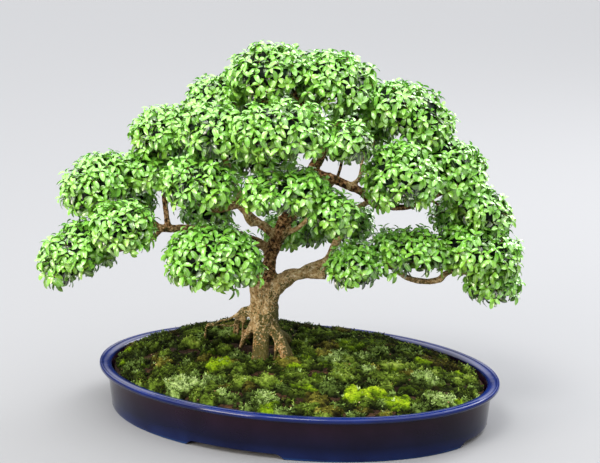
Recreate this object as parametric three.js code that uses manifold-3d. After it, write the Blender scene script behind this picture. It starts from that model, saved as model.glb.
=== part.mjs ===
// A bonsai tree in a low oval glazed pot, with the soil and moss that it grows in.
// Millimetres, +Z up. The pot's long axis runs along X and the pot stands on Z = 0.
import * as THREE from 'three';
import { mergeVertices } from 'three/addons/utils/BufferGeometryUtils.js';
import Module from 'manifold-3d';

const wasm = await Module();
wasm.setup();

// Pot: outline of the rim, then its profile as the distance in from that outline.
const potLength = 500;
const potWidth = 370;
const potHeight = 55;
const lipWidth = 13;
const lipThickness = 6.5;
const lipOverhang = 8.5;
const baseInset = 14;
const footWidth = 9;
const footHeight = 7;
const floorTop = 15;
const floorFillet = 4;
const innerInsetTop = 15.5;
const innerInsetBase = 20;
const edgeRound = 2;
const wallDraft = 1;
const ovalSegments = 32;

// Recesses between the feet, with the ogee at each end as [distance from the end, height].
const frontRecessHalf = 64;
const sideRecessHalf = 46;
const recessOgee = [[0, 0], [6, 0.8], [9, 2.6], [10.5, 4.4], [13, 5.8], [18, 6.4]];

// Drain holes and their screens.
const drainRadius = 10;
const drainOffset = 110;
const drainSides = 12;
const screenSize = 34;
const screenThickness = 1;
const screenOpenings = 3;
const screenBar = 2.2;

// Soil and moss: one low mound, higher towards the back, with a layer of moss on the soil.
const edgeHeight = 51;
const moundRise = 25.5;
const moundPower = 3.2;
const moundBackLift = 0.0022;
const moundLeftLift = 0.0025;
const mossThickness = 7;
const mossSeat = 1;
const mossRings = 6;
const soilRings = 2;
const mossInset = 2;
const mossLump = 4;
const mossLumpSpacing = 14;
const mossLumpBend = 1.2;
const mossBendSpacing = 21;

// Clear distance between pieces that touch.
const gap = 0.35;

// The tree is turned against the pot's long axis. Its own directions are across, depth and up.
const treeTurn = THREE.MathUtils.degToRad(25);

// Foliage: whorls of leaves, larger than life, stand on short stalks out of a core for each pad.
const leafLength = 32;
const leafWidth = 16;
const leafWidest = 0.56;
const leafFold = 3;
const leafDroop = THREE.MathUtils.degToRad(12);
const leavesInWhorl = 5;
const notchRadius = 5.5;
const stalkRadius = 2.2;
const stalkSides = 3;
const stalkDrop = 4.2;
const whorlLift = 8;
const whorlJitter = 2;
const whorlRoot = 8;
const whorlUpturn = 0.25;
const whorlSizes = [1, 0.84, 0.68, 0.52];
const whorlArea = 2460;
const crownMiddle = [0, 10, 235];
const innerFacing = -0.3;
const coreInset = 6;
const coreUnderside = 0.72;
const coreBulge = 1.04;
const coreWave = 0.07;
const coreWaveTurns = [5, 3];
const foliageSeed = 7;

// Wood: centre lines as [across, depth, up, radius], chosen by hand.
const trunk = [
  [-38, 3, 96, 13], [-38, 1, 111, 17], [-38, 0, 134, 16.9], [-37, 0, 153, 17.2], [-34, 0, 165, 13],
  [-34, 0, 175, 9.6], [-32, -1, 184, 8.4], [-30, -2, 194, 8.6], [-26, -3, 204, 8.6],
  [-22, -4, 214, 8.6], [-17, -5, 223, 8.8], [-13, -6, 237, 8.8], [-9, -6, 248, 8.6], [-1, -6, 261, 8.4],
  [8, -5, 275, 8], [19, 0, 296, 7.2], [29, 0, 314, 6.5], [32, 0, 332, 6], [27, 0, 352, 5.5],
  [14, 0, 371, 4.5], [-8, 0, 392, 3.5],
];
const rightStub = [
  [-28, 0, 153, 11], [-15, -3, 162, 10.4], [-5, -6, 169, 8.8], [6, -8, 172, 7], [19, -10, 173, 6],
  [36, -13, 172, 6],
];
const rightRise = [
  [4, -9, 175, 3.5], [14, -7, 181, 3.2], [26, -5, 185, 3.2], [36, -2, 189, 3.4], [41, 1, 195, 3.8],
  [45, 6, 201, 4.4], [50, 12, 211, 4.8], [54, 22, 221, 4.4], [60, 38, 233, 4], [90, 60, 246, 3.6],
  [126, 74, 262, 3],
];
const stubRise = [[30, -12, 175, 3.6], [36, -8, 184, 3.6], [41, -1, 195, 3.6]];
const rightDroop = [
  [11, -9, 172, 5.6], [40, -6, 180, 5], [76, -5, 186, 4.8], [106, -5, 184, 4.4], [124, -8, 173, 3.8],
  [132, -10, 168, 3.6], [142, -11, 165, 3.6], [154, -12, 164, 3.6], [164, -12, 165, 3.9],
  [171, -12, 167, 4.1], [175, -12, 172, 3.8], [184, -11, 176, 3.3], [193, -10, 174, 3.2],
  [209, -6, 174, 3],
];
const rightHigh = [
  [16, 0, 292, 6], [42, -5, 287, 5.6], [59, -10, 280, 5.4], [76, -15, 273, 4.8], [92, -20, 259, 4.4],
  [115, -24, 256, 4], [138, -22, 258, 3.6], [170, -10, 270, 3],
];
const rightUp = [
  [63, -12, 279, 3.4], [73, -11, 286, 3], [77, -10, 298, 2.8], [78, -8, 311, 2.4], [92, -4, 330, 2],
];
const frontRight = [
  [-14, -5, 220, 4], [-6, -8, 224, 3.4], [3, -16, 230, 3], [12, -28, 241, 2.8], [20, -42, 252, 2.6],
  [28, -58, 263, 2.4],
];
const leftHigh = [
  [-23, -2, 217, 4], [-29, -3, 223, 3.8], [-36, -5, 231, 3.4], [-44, -7, 234, 3.6], [-51, -9, 233, 4.4],
  [-55, -10, 240, 5.2], [-58, -12, 253, 5.4], [-64, -14, 263, 5.2], [-73, -20, 286, 4.8],
  [-81, -25, 312, 4.2], [-89, -32, 338, 3.4],
];
const leftInner = [[-63, -13, 258, 4], [-90, -25, 253, 3.6], [-112, -40, 264, 3]];
const leftLow = [
  [-28, 0, 196, 6], [-45, 0, 209, 5.8], [-66, 0, 216, 5.6], [-98, 0, 221, 5.4], [-128, -5, 226, 5],
  [-159, -10, 228, 4.8], [-171, -10, 236, 4.4], [-200, -5, 248, 3.8], [-224, 0, 262, 3],
];
const leftDrop = [
  [-157, -10, 228, 4], [-172, -18, 216, 3.6], [-205, -20, 205, 3.2], [-236, -20, 200, 2.6],
];
const leftRise = [[-150, -8, 228, 3.8], [-154, 4, 252, 3.4], [-158, 18, 290, 3], [-160, 24, 322, 2.6]];
const backRight = [[-13, -3, 230, 5], [5, 35, 240, 4.6], [28, 72, 252, 4.2], [50, 100, 264, 3.2]];
const backLeft = [[-21, -2, 214, 5], [-45, 30, 226, 4.6], [-75, 62, 244, 4.2], [-112, 84, 276, 3.2]];
const topLeft = [[18, 0, 366, 4.2], [-20, 8, 374, 3.6], [-60, 22, 379, 3], [-86, 32, 383, 2.6]];
const topRight = [[30, 0, 342, 5], [60, -4, 351, 4.6], [95, -3, 356, 4], [122, 0, 360, 3]];
const limbs = [
  rightStub, rightRise, stubRise, rightDroop, rightHigh, rightUp, frontRight, leftHigh,
  leftInner, leftLow, leftDrop, leftRise, backRight, backLeft, topLeft, topRight,
];
const roots = [
  [
    [-40, 0, 138, 7], [-54, 2, 127, 4.6], [-63, 6, 124, 3.6], [-69, 10, 118, 2.8], [-75, 16, 113, 1.9],
    [-82, 22, 108, 1.9], [-91, 30, 104, 1.7], [-98, 36, 99, 1.7], [-105, 40, 97, 1.6],
    [-109, 42, 93, 1.6], [-112, 44, 60, 1.6],
  ],
  [[-62, 5, 122, 3], [-69, 14, 115, 2.7], [-72, 28, 104, 2.4], [-74, 42, 93, 1.9], [-78, 64, 62, 1.5]],
  [[-61, 4, 121, 2.6], [-66, 16, 111, 2], [-69, 32, 99, 1.7], [-72, 64, 62, 1.5]],
  [[-52, 0, 124, 5], [-59, 4, 119, 3.8], [-62, 12, 110, 2.8], [-64, 26, 96, 1.8], [-66, 48, 62, 1.5]],
  [[-74, 38, 96, 1.5], [-83, 38, 95, 1.4], [-87, 36, 97, 1.4], [-106, 40, 95, 1.4]],
  [[-46, -3, 113, 6], [-53, 1, 103, 4.2], [-58, 6, 94, 3.5], [-63, 12, 85, 3.1], [-71, 22, 60, 2.4]],
  [[-43, -4, 113, 9], [-44, -11, 99, 7], [-45, -18, 86, 6.3], [-47, -26, 74, 5.8], [-50, -34, 52, 5]],
  [[-36, -5, 113, 9], [-38, -12, 99, 6.8], [-38, -18, 87, 6.4], [-38, -27, 73, 6], [-38, -34, 52, 5]],
  [
    [-32, -10, 104, 3], [-28, -16, 100, 2.4], [-24, -20, 93, 2.1], [-24, -24, 84, 2],
    [-27, -31, 56, 1.9],
  ],
  [
    [-31, -3, 114, 8], [-22, -10, 100, 6.4], [-17, -17, 90, 6.4], [-14, -23, 82, 6.2],
    [-10, -36, 52, 4],
  ],
  [[-20, -11, 96, 5], [-12, -16, 87, 3.8], [-6, -20, 77, 3], [0, -28, 56, 2.2]],
  [[-31, 7, 110, 9], [-24, 20, 94, 7], [-12, 34, 80, 5.6], [2, 50, 54, 4]],
  [[-45, 7, 110, 9], [-54, 22, 94, 6.2], [-60, 38, 80, 5], [-68, 56, 54, 4]],
];
const trunkSides = 9;
const limbSides = 5;
const rootSides = 4;
const twigSides = 3;
const ringStep = 32;
const fluteDepth = 0.1;
const flutes = 3;
const fluteTwist = 0.9;

// Thin branches from the limbs to the pads: they rise late, and end below the middle of a pad.
const twigRadius = 2.8;
const twigTaper = 0.8;
const twigOfLimb = 0.7;
const twigArch = 0.4;
const twigSag = 2;
const twigEndDrop = 4;
const twigClimbCost = 1.5;

// Pads of foliage: place of the middle, half size over the leaves, and tilt about the depth axis.
const pads = [
  ['left_low', [-255, -20, 201], [55, 44, 41], 30],
  ['left_low_front', [-198, -60, 239], [43, 42, 37], 0],
  ['left_middle', [-232, 5, 277], [50, 50, 41], 26],
  ['left_middle_inner', [-178, 20, 291], [40, 44, 30], 0],
  ['left_upper', [-158, 25, 335], [44, 48, 37], 16],
  ['left_front_upper', [-93, -45, 350], [46, 44, 38], 0],
  ['top_left', [-94, 38, 375], [46, 46, 32], 25],
  ['apex', [-30, 0, 409], [54, 56, 41], 5],
  ['apex_right', [47, 5, 398], [56, 56, 42], -16],
  ['top_front', [-17, -85, 356], [62, 44, 40], 0],
  ['front_right_upper', [61, -88, 346], [31, 34, 27], 0],
  ['right_upper', [132, 0, 361], [59, 55, 41], -27],
  ['right_middle', [120, -58, 297], [49, 44, 47], 0],
  ['right_outer', [180, -2, 298], [51, 52, 43], -32],
  ['right_outer_low', [214, 0, 253], [49, 50, 31], -30],
  ['right_low', [214, -14, 203], [57, 50, 38], -12],
  ['right_tip', [231, -4, 162], [38, 40, 31], 0],
  ['right_low_inner', [132, -32, 206], [52, 42, 33], 0],
  ['right_low_front', [68, -52, 193], [36, 38, 33], 0],
  ['centre_front', [-12, -84, 288], [58, 40, 32], 0],
  ['centre_front_low', [43, -80, 262], [36, 36, 31], -20],
  ['left_centre', [-110, -60, 292], [50, 44, 36], 0],
  ['left_low_centre', [-94, -60, 203], [61, 50, 47], 0],
  ['back_centre', [-2, 102, 202], [46, 42, 27], 0],
  ['back_right_low', [64, 96, 210], [38, 40, 26], 0],
  ['back_left_low', [-108, 88, 226], [36, 42, 27], 0],
  ['back_upper', [-24, 88, 358], [60, 44, 35], 0],
  ['back_upper_right', [80, 76, 338], [50, 44, 34], 0],
  ['back_left', [-132, 98, 292], [50, 44, 32], 0],
  ['back_middle', [-46, 124, 290], [52, 42, 34], 0],
  ['back_right', [60, 122, 309], [48, 42, 32], 0],
  ['back_right_outer', [148, 82, 286], [48, 46, 34], -12],
  ['back_right_tip', [204, 80, 222], [45, 44, 30], -10],
  ['back_left_outer', [-208, 78, 240], [44, 42, 28], 10],
];

const glazeColor = '#1b2f7a';
const soilColor = '#3a2c22';
const mossColor = '#557a2c';
const barkColor = '#9b8360';
const screenColor = '#1c1c1e';
const leafColors = ['#6fae4d', '#63a247', '#7ab957'];

function seededRandom(seed) {
  let state = seed;
  return () => {
    state = (state * 16807) % 2147483647;
    return state / 2147483647;
  };
}

// A point of the tree, given across, in depth and up, in the pot's frame.
function treePoint(across, depth, up) {
  return new THREE.Vector3(
    across * Math.cos(treeTurn) - depth * Math.sin(treeTurn),
    across * Math.sin(treeTurn) + depth * Math.cos(treeTurn),
    up,
  );
}

function triangleGeometry(points, faces) {
  const geometry = new THREE.BufferGeometry();
  geometry.setAttribute('position', new THREE.Float32BufferAttribute(points.flatMap((p) => p.toArray()), 3));
  geometry.setIndex(faces.flat());
  return geometry;
}

// A closed skin through rings of points, drawn to a point at each end, with its faces outward.
function skin(start, rings, end) {
  const count = rings[0].length;
  const points = [start, ...rings.flat(), end];
  const faces = [];
  const last = points.length - 1;
  for (let i = 0; i < count; i += 1) {
    const next = (i + 1) % count;
    faces.push([0, 1 + next, 1 + i]);
    for (let row = 0; row < rings.length - 1; row += 1) {
      const low = 1 + row * count;
      const high = low + count;
      faces.push([low + i, low + next, high + next], [low + i, high + next, high + i]);
    }
    faces.push([last - count + i, last - count + next, last]);
  }
  const volume = faces.reduce((sum, [a, b, c]) => {
    const across = new THREE.Vector3().crossVectors(points[b], points[c]);
    return sum + points[a].dot(across);
  }, 0);
  if (volume < 0) faces.forEach((face) => face.reverse());
  return triangleGeometry(points, faces);
}

function toSolid(geometry) {
  const plain = geometry.clone();
  plain.deleteAttribute('normal');
  plain.deleteAttribute('uv');
  const merged = mergeVertices(plain, 1e-4);
  return new wasm.Manifold(new wasm.Mesh({
    numProp: 3,
    vertProperties: new Float32Array(merged.attributes.position.array),
    triVerts: new Uint32Array(merged.index.array),
  }));
}

function toGeometry(solid) {
  const { vertProperties, triVerts } = solid.getMesh();
  const geometry = new THREE.BufferGeometry();
  geometry.setAttribute('position', new THREE.BufferAttribute(new Float32Array(vertProperties), 3));
  geometry.setIndex(new THREE.BufferAttribute(new Uint32Array(triVerts), 1));
  return geometry;
}

function joined(solids) {
  return solids.reduce((whole, solid) => whole.add(solid));
}

function largestBody(solid) {
  return solid.decompose().reduce((best, body) => (body.volume() > best.volume() ? body : best));
}

function ovalRing(inset, heightAt, share = 1) {
  return Array.from({ length: ovalSegments }, (_, i) => {
    const angle = (2 * Math.PI * i) / ovalSegments;
    const x = (potLength / 2 - inset) * share * Math.cos(angle);
    const y = (potWidth / 2 - inset) * share * Math.sin(angle);
    return new THREE.Vector3(x, y, typeof heightAt === 'function' ? heightAt(x, y) : heightAt);
  });
}

// The recess between two feet: a flat arch with an ogee at each end.
function recessSolid(half, length) {
  const rise = recessOgee.map(([inset, height]) => new THREE.Vector2(inset - half, height));
  const fall = rise.map((point) => new THREE.Vector2(-point.x, point.y)).reverse();
  const below = [new THREE.Vector2(half, -edgeRound), new THREE.Vector2(-half, -edgeRound)];
  const outline = new THREE.Shape([...rise, ...fall, ...below]);
  const arch = new THREE.ExtrudeGeometry(outline, { depth: length, bevelEnabled: false });
  arch.translate(0, 0, -length / 2);
  arch.rotateX(Math.PI / 2);
  return arch;
}

function makePot() {
  const lipUnderside = potHeight - lipThickness;
  const profile = [
    [baseInset + footWidth + wallDraft, footHeight],
    [baseInset + footWidth, 0],
    [baseInset + edgeRound, 0],
    [baseInset, edgeRound],
    [baseInset - wallDraft, floorTop],
    [lipOverhang, lipUnderside],
    [edgeRound, lipUnderside],
    [0, potHeight - lipThickness / 2],
    [edgeRound / 2, potHeight - edgeRound / 2],
    [edgeRound + wallDraft, potHeight],
    [lipWidth, potHeight],
    [innerInsetTop, potHeight - edgeRound],
    [innerInsetBase, floorTop + floorFillet],
    [innerInsetBase + floorFillet, floorTop],
  ];
  const rings = profile.map(([inset, height]) => ovalRing(inset, height));
  const underMiddle = new THREE.Vector3(0, 0, footHeight);
  const floorMiddle = new THREE.Vector3(0, 0, floorTop);
  const body = toSolid(skin(underMiddle, rings, floorMiddle));
  const frontRecess = recessSolid(frontRecessHalf, potWidth);
  const sideRecess = recessSolid(sideRecessHalf, potLength);
  sideRecess.rotateZ(Math.PI / 2);
  const holes = [-drainOffset, drainOffset].map((x) => {
    const hole = new THREE.CylinderGeometry(drainRadius, drainRadius, 2 * floorTop, drainSides);
    hole.rotateX(Math.PI / 2);
    hole.translate(x, 0, floorTop);
    return toSolid(hole);
  });
  const cuts = joined([toSolid(frontRecess), toSolid(sideRecess), ...holes]);
  return body.subtract(cuts);
}

// A square of plastic mesh that lies over a drain hole, under the soil.
function makeScreen(x) {
  const sheet = new THREE.BoxGeometry(screenSize, screenSize, screenThickness);
  sheet.translate(x, 0, floorTop + screenThickness / 2);
  const opening = (screenSize - screenBar * (screenOpenings + 1)) / screenOpenings;
  const spacing = opening + screenBar;
  const first = screenBar + opening / 2 - screenSize / 2;
  const openings = [];
  for (let row = 0; row < screenOpenings; row += 1) {
    for (let column = 0; column < screenOpenings; column += 1) {
      const hole = new THREE.BoxGeometry(opening, opening, 2 * floorTop);
      hole.translate(x + first + column * spacing, first + row * spacing, floorTop);
      openings.push(toSolid(hole));
    }
  }
  return toSolid(sheet).subtract(joined(openings));
}

function moundHeight(x, y) {
  const reach = Math.hypot(x / (potLength / 2 - innerInsetTop), y / (potWidth / 2 - innerInsetTop));
  const slope = 1 + moundBackLift * y - moundLeftLift * x;
  return edgeHeight + moundRise * Math.max(0, 1 - reach ** moundPower) * slope;
}

// Low cushions of moss, raised by crossed waves.
function mossHeight(x, y) {
  const along = Math.sin(x / mossLumpSpacing + mossLumpBend * Math.sin(y / mossBendSpacing));
  const across = Math.sin(y / mossLumpSpacing + mossLumpBend * Math.cos(x / mossBendSpacing));
  return moundHeight(x, y) + mossLump * along * across;
}

function soilHeight(x, y) {
  return moundHeight(x, y) - mossThickness;
}

function groundRings(inset, rings, heightAt) {
  return Array.from({ length: rings }, (_, i) => ovalRing(inset, heightAt, 1 - i / rings));
}

// How far in from the rim the top of the soil meets the wall.
function soilEdgeInset() {
  const wallSlope = (innerInsetBase - innerInsetTop) / (potHeight - edgeRound - floorTop - floorFillet);
  const edgeUp = edgeHeight - mossThickness;
  return innerInsetBase - (edgeUp - floorTop - floorFillet) * wallSlope + 2 * gap;
}

function makeSoil(treeHole) {
  const sides = [
    ovalRing(innerInsetBase + floorFillet + 2 * gap, floorTop),
    ovalRing(innerInsetBase + 2 * gap, floorTop + floorFillet),
  ];
  const top = groundRings(soilEdgeInset(), soilRings, soilHeight);
  const middle = new THREE.Vector3(0, 0, soilHeight(0, 0));
  const body = toSolid(skin(new THREE.Vector3(0, 0, floorTop), [...sides, ...top], middle));
  const room = screenSize + 2 * gap;
  const recesses = [-drainOffset, drainOffset].map((x) => {
    const recess = new THREE.BoxGeometry(room, room, 2 * (screenThickness + gap));
    recess.translate(x, 0, floorTop);
    return toSolid(recess);
  });
  return largestBody(body.subtract(joined([treeHole, ...recesses])));
}

function makeMoss(treeHole) {
  const edgeInset = innerInsetTop + mossInset + 2 * gap;
  const seatHeight = (x, y) => soilHeight(x, y) + mossSeat;
  const seat = groundRings(soilEdgeInset(), soilRings, seatHeight).slice(1);
  const under = [ovalRing(edgeInset, seatHeight), ...seat].reverse();
  const over = groundRings(edgeInset, mossRings, mossHeight);
  const underMiddle = new THREE.Vector3(0, 0, soilHeight(0, 0) + mossSeat);
  const overMiddle = new THREE.Vector3(0, 0, mossHeight(0, 0));
  const body = toSolid(skin(underMiddle, [...under, ...over], overMiddle));
  return largestBody(body.subtract(treeHole));
}

// A tapered limb along a smooth line. Its ends and its radius grow by extra when it cuts a hole.
function limbSolid(line, sides, extra, flute = 0) {
  const curve = new THREE.CatmullRomCurve3(line.map(([across, depth, up]) => treePoint(across, depth, up)));
  const steps = Math.max(2, Math.round(curve.getLength() / ringStep));
  const frames = curve.computeFrenetFrames(steps, false);
  const rings = [];
  for (let i = 0; i <= steps; i += 1) {
    const along = (i / steps) * (line.length - 1);
    const low = Math.min(Math.floor(along), line.length - 2);
    const radius = THREE.MathUtils.lerp(line[low][3], line[low + 1][3], along - low) + extra;
    const middle = curve.getPoint(i / steps);
    const endShift = i === 0 ? -extra : i === steps ? extra : 0;
    middle.addScaledVector(frames.tangents[i], endShift);
    const ring = Array.from({ length: sides }, (_, k) => {
      const angle = (2 * Math.PI * k) / sides;
      const ridge = flute * Math.sin(flutes * angle + fluteTwist * i) * (1 - i / steps);
      const ridged = radius * (1 + ridge);
      return middle.clone()
        .addScaledVector(frames.normals[i], ridged * Math.cos(angle))
        .addScaledVector(frames.binormals[i], ridged * Math.sin(angle));
    });
    rings.push(ring);
  }
  const start = rings[0].reduce((sum, p) => sum.add(p), new THREE.Vector3()).divideScalar(sides);
  const end = rings[steps].reduce((sum, p) => sum.add(p), new THREE.Vector3()).divideScalar(sides);
  return toSolid(skin(start, rings, end));
}

// A thin branch for each pad, from the nearest point of the limbs to the pad's core.
function twigLines() {
  const nodes = [trunk.slice(9), ...limbs].flat();
  return pads.map(([, [across, depth, up]]) => {
    const top = up - twigEndDrop;
    const away = (p) => Math.hypot(p[0] - across, p[1] - depth, twigClimbCost * (p[2] - top));
    const root = nodes.reduce((best, p) => (away(p) < away(best) ? p : best));
    const radius = Math.min(twigRadius, twigOfLimb * root[3]);
    return [
      [root[0], root[1], root[2], radius],
      [
        (root[0] + across) / 2,
        (root[1] + depth) / 2,
        THREE.MathUtils.lerp(root[2], top, twigArch) - twigSag,
        radius,
      ],
      [across, depth, top, radius * twigTaper],
    ];
  });
}

function makeTree(extra) {
  return joined([
    limbSolid(trunk, trunkSides, extra, fluteDepth),
    ...limbs.map((line) => limbSolid(line, limbSides, extra)),
    ...roots.map((line) => limbSolid(line, rootSides, extra)),
    ...twigLines().map((line) => limbSolid(line, twigSides, extra)),
  ]);
}

function padTurn(tilt) {
  const turn = new THREE.Quaternion().setFromAxisAngle(new THREE.Vector3(0, 0, 1), treeTurn);
  const lean = new THREE.Quaternion().setFromAxisAngle(
    new THREE.Vector3(0, 1, 0),
    THREE.MathUtils.degToRad(-tilt),
  );
  return turn.multiply(lean);
}

// The core of a pad, flatter beneath, that its leaves stand out of.
function coreSolid(middle, half, tilt, extra) {
  const core = new THREE.OctahedronGeometry(1, 1);
  const position = core.attributes.position;
  const turn = padTurn(tilt);
  const place = treePoint(...middle);
  for (let i = 0; i < position.count; i += 1) {
    const point = new THREE.Vector3().fromBufferAttribute(position, i);
    const low = point.z < 0 ? coreUnderside : 1;
    const phase = coreWaveTurns[0] * point.x + coreWaveTurns[1] * point.y + middle[0];
    const bulge = coreBulge + coreWave * Math.sin(phase);
    const [wide, deep, high] = half.map((side) => (side - coreInset) * bulge + extra);
    point.set(point.x * wide, point.y * deep, point.z * high * low).applyQuaternion(turn).add(place);
    position.setXYZ(i, point.x, point.y, point.z);
  }
  return toSolid(core);
}

// A whorl of leaves on a stalk, with the ridge of each leaf from the middle to its tip.
function whorlSolid(place, facing, spin, size, extra) {
  const turn = new THREE.Quaternion().setFromUnitVectors(new THREE.Vector3(0, 0, 1), facing);
  const pointAt = (radius, angle, drop) => new THREE.Vector3(
    radius * Math.cos(angle),
    radius * Math.sin(angle),
    -drop,
  );
  const reach = leafLength * size + extra;
  const halfWide = (leafWidth * size) / 2 + extra;
  const fold = leafFold * size;
  const tipRadius = reach * Math.cos(leafDroop);
  const tipDrop = reach * Math.sin(leafDroop);
  const wideAngle = Math.atan2(halfWide, tipRadius * leafWidest);
  const wideReach = Math.hypot(halfWide, tipRadius * leafWidest);
  const wideDrop = tipDrop * leafWidest + fold;
  const half = Math.PI / leavesInWhorl;
  const rim = Array.from({ length: leavesInWhorl }, (_, i) => spin + 2 * half * i).flatMap((angle) => [
    pointAt(wideReach, angle - wideAngle, wideDrop),
    pointAt(tipRadius, angle, tipDrop),
    pointAt(wideReach, angle + wideAngle, wideDrop),
    pointAt(notchRadius * size + extra, angle + half, fold),
  ]);
  const stalk = Array.from({ length: stalkSides }, (_, i) => (
    pointAt(stalkRadius + extra, spin - half + (2 * Math.PI * i) / stalkSides, stalkDrop + extra)
  ));
  const top = new THREE.Vector3(0, 0, extra);
  const root = new THREE.Vector3(0, 0, -whorlLift - whorlRoot);
  const points = [top, ...rim, ...stalk, root];
  const stalkStart = 1 + rim.length;
  const faces = [];
  let side = 0;
  for (let i = 0; i < rim.length; i += 1) {
    const next = 1 + ((i + 1) % rim.length);
    const foot = stalkStart + (side % stalkSides);
    faces.push([0, 1 + i, next], [foot, next, 1 + i]);
    if ((i + 1) * stalkSides >= (side + 1) * rim.length) {
      const nextFoot = stalkStart + ((side + 1) % stalkSides);
      faces.push([foot, nextFoot, next], [foot, points.length - 1, nextFoot]);
      side += 1;
    }
  }
  points.forEach((point) => point.applyQuaternion(turn).add(place));
  return toSolid(triangleGeometry(points, faces));
}

function crosses(solid, others) {
  return others.some((other) => !solid.intersect(other).isEmpty());
}

// Whorls spread evenly over a pad. Each is the largest size that clears all that stands near it,
// and those that would face the inside of the crown are left out.
function whorlsOfPad([, middle, half, tilt], ownCore, standing, random) {
  const [wide, deep, high] = half.map((side) => side - coreInset);
  const area = (4 / 3) * Math.PI * (wide * deep + wide * high + deep * high);
  const count = Math.round(area / whorlArea);
  const turn = padTurn(tilt);
  const place = treePoint(...middle);
  const goldenAngle = Math.PI * (3 - Math.sqrt(5));
  const whorls = [];
  for (let i = 0; i < count; i += 1) {
    const up = 1 - (2 * i + 1) / count;
    const round = Math.sqrt(1 - up * up);
    const angle = goldenAngle * i + middle[0];
    const sphere = new THREE.Vector3(round * Math.cos(angle), round * Math.sin(angle), up);
    const scale = new THREE.Vector3(wide, deep, high * (up < 0 ? coreUnderside : 1));
    const facing = sphere.clone().divide(scale).normalize();
    const lift = whorlLift + whorlJitter * (2 * random() - 1);
    const stand = sphere.multiply(scale).addScaledVector(facing, lift);
    const spin = 2 * Math.PI * random();
    facing.applyQuaternion(turn);
    stand.applyQuaternion(turn).add(place);
    const outward = stand.clone().sub(treePoint(...crownMiddle)).normalize();
    if (facing.dot(outward) > innerFacing) {
      facing.add(new THREE.Vector3(0, 0, whorlUpturn)).normalize();
      const near = standing.filter((other) => (
        other.core !== ownCore && other.middle.distanceTo(stand) < other.reach + leafLength
      )).map((other) => other.solid);
      const size = whorlSizes.find((share) => !crosses(whorlSolid(stand, facing, spin, share, gap), near));
      if (size) {
        const solid = whorlSolid(stand, facing, spin, size, 0);
        whorls.push(solid);
        standing.push({ solid, middle: stand, reach: leafLength, core: null });
      }
    }
  }
  return whorls;
}

function makeFoliage(treeHole) {
  const random = seededRandom(foliageSeed);
  const cores = [];
  const standing = [];
  pads.forEach(([, middle, half, tilt]) => {
    const whole = coreSolid(middle, half, tilt, 0);
    const core = cores.reduce((rest, earlier) => rest.subtract(earlier.grown), whole);
    const grown = coreSolid(middle, half, tilt, 2 * gap);
    cores.push({ core, grown });
    standing.push({ solid: grown, middle: treePoint(...middle), reach: Math.max(...half), core });
  });
  return pads.map((pad, i) => {
    const { core } = cores[i];
    const whorls = whorlsOfPad(pad, core, standing, random);
    return largestBody(joined([core, ...whorls]).subtract(treeHole));
  });
}

function addMesh(group, name, geometry, color, roughness) {
  const material = new THREE.MeshStandardMaterial({ color, roughness, metalness: 0 });
  const mesh = new THREE.Mesh(geometry, material);
  mesh.name = name;
  group.add(mesh);
}

const bonsai = new THREE.Group();
const treeHole = makeTree(gap);
addMesh(bonsai, 'pot', toGeometry(makePot()), glazeColor, 0.2);
addMesh(bonsai, 'drain_screen_left', toGeometry(makeScreen(-drainOffset)), screenColor, 0.6);
addMesh(bonsai, 'drain_screen_right', toGeometry(makeScreen(drainOffset)), screenColor, 0.6);
addMesh(bonsai, 'soil', toGeometry(makeSoil(treeHole)), soilColor, 0.95);
addMesh(bonsai, 'moss', toGeometry(makeMoss(treeHole)), mossColor, 0.95);
addMesh(bonsai, 'tree', toGeometry(makeTree(0)), barkColor, 0.85);
makeFoliage(treeHole).forEach((solid, i) => {
  addMesh(bonsai, `foliage_${pads[i][0]}`, toGeometry(solid), leafColors[i % leafColors.length], 0.45);
});

// The origin is under the middle of the whole part, on the surface that the pot stands on.
const box = new THREE.Box3().setFromObject(bonsai);
bonsai.position.set(-(box.min.x + box.max.x) / 2, -(box.min.y + box.max.y) / 2, -box.min.z);

export default bonsai;
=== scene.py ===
# A bonsai in a low oval glazed pot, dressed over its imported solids.
import bpy
import math
import random
import numpy as np
from mathutils import Matrix, Vector, kdtree, noise


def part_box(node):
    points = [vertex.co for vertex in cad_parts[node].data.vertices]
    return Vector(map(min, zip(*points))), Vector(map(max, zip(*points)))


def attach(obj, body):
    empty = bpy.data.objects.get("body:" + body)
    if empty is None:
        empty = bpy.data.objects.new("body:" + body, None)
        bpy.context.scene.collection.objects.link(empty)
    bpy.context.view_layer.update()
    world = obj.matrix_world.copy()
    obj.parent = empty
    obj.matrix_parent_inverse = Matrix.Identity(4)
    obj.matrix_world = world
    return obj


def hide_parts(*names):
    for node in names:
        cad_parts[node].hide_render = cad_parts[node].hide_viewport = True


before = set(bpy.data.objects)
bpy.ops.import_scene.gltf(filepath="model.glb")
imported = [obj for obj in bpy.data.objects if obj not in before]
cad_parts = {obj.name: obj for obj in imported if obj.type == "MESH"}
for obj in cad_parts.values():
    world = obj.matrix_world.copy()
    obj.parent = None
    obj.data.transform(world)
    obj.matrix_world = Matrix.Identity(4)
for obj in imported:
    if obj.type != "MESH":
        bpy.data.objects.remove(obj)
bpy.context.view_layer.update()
potLow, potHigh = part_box("pot")
potCentre = Vector(((potLow.x + potHigh.x) / 2, (potLow.y + potHigh.y) / 2, 0.0))
mm = 0.001
print("frame loaded, pot centre", tuple(round(v, 4) for v in potCentre))


# Small helpers.

def hexColour(code):
    channels = [int(code[i:i + 2], 16) / 255 for i in (1, 3, 5)]
    linear = [c / 12.92 if c <= 0.04045 else ((c + 0.055) / 1.055) ** 2.4 for c in channels]
    return (*linear, 1.0)


# Sets sockets by name. Each input is a constant, a socket, or a node, which gives its first output.
def setInputs(tree, node, inputs):
    for name, value in inputs.items():
        if isinstance(value, bpy.types.Node):
            value = value.outputs[0]
        if isinstance(value, bpy.types.NodeSocket):
            tree.links.new(value, node.inputs[name])
        else:
            node.inputs[name].default_value = value


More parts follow.
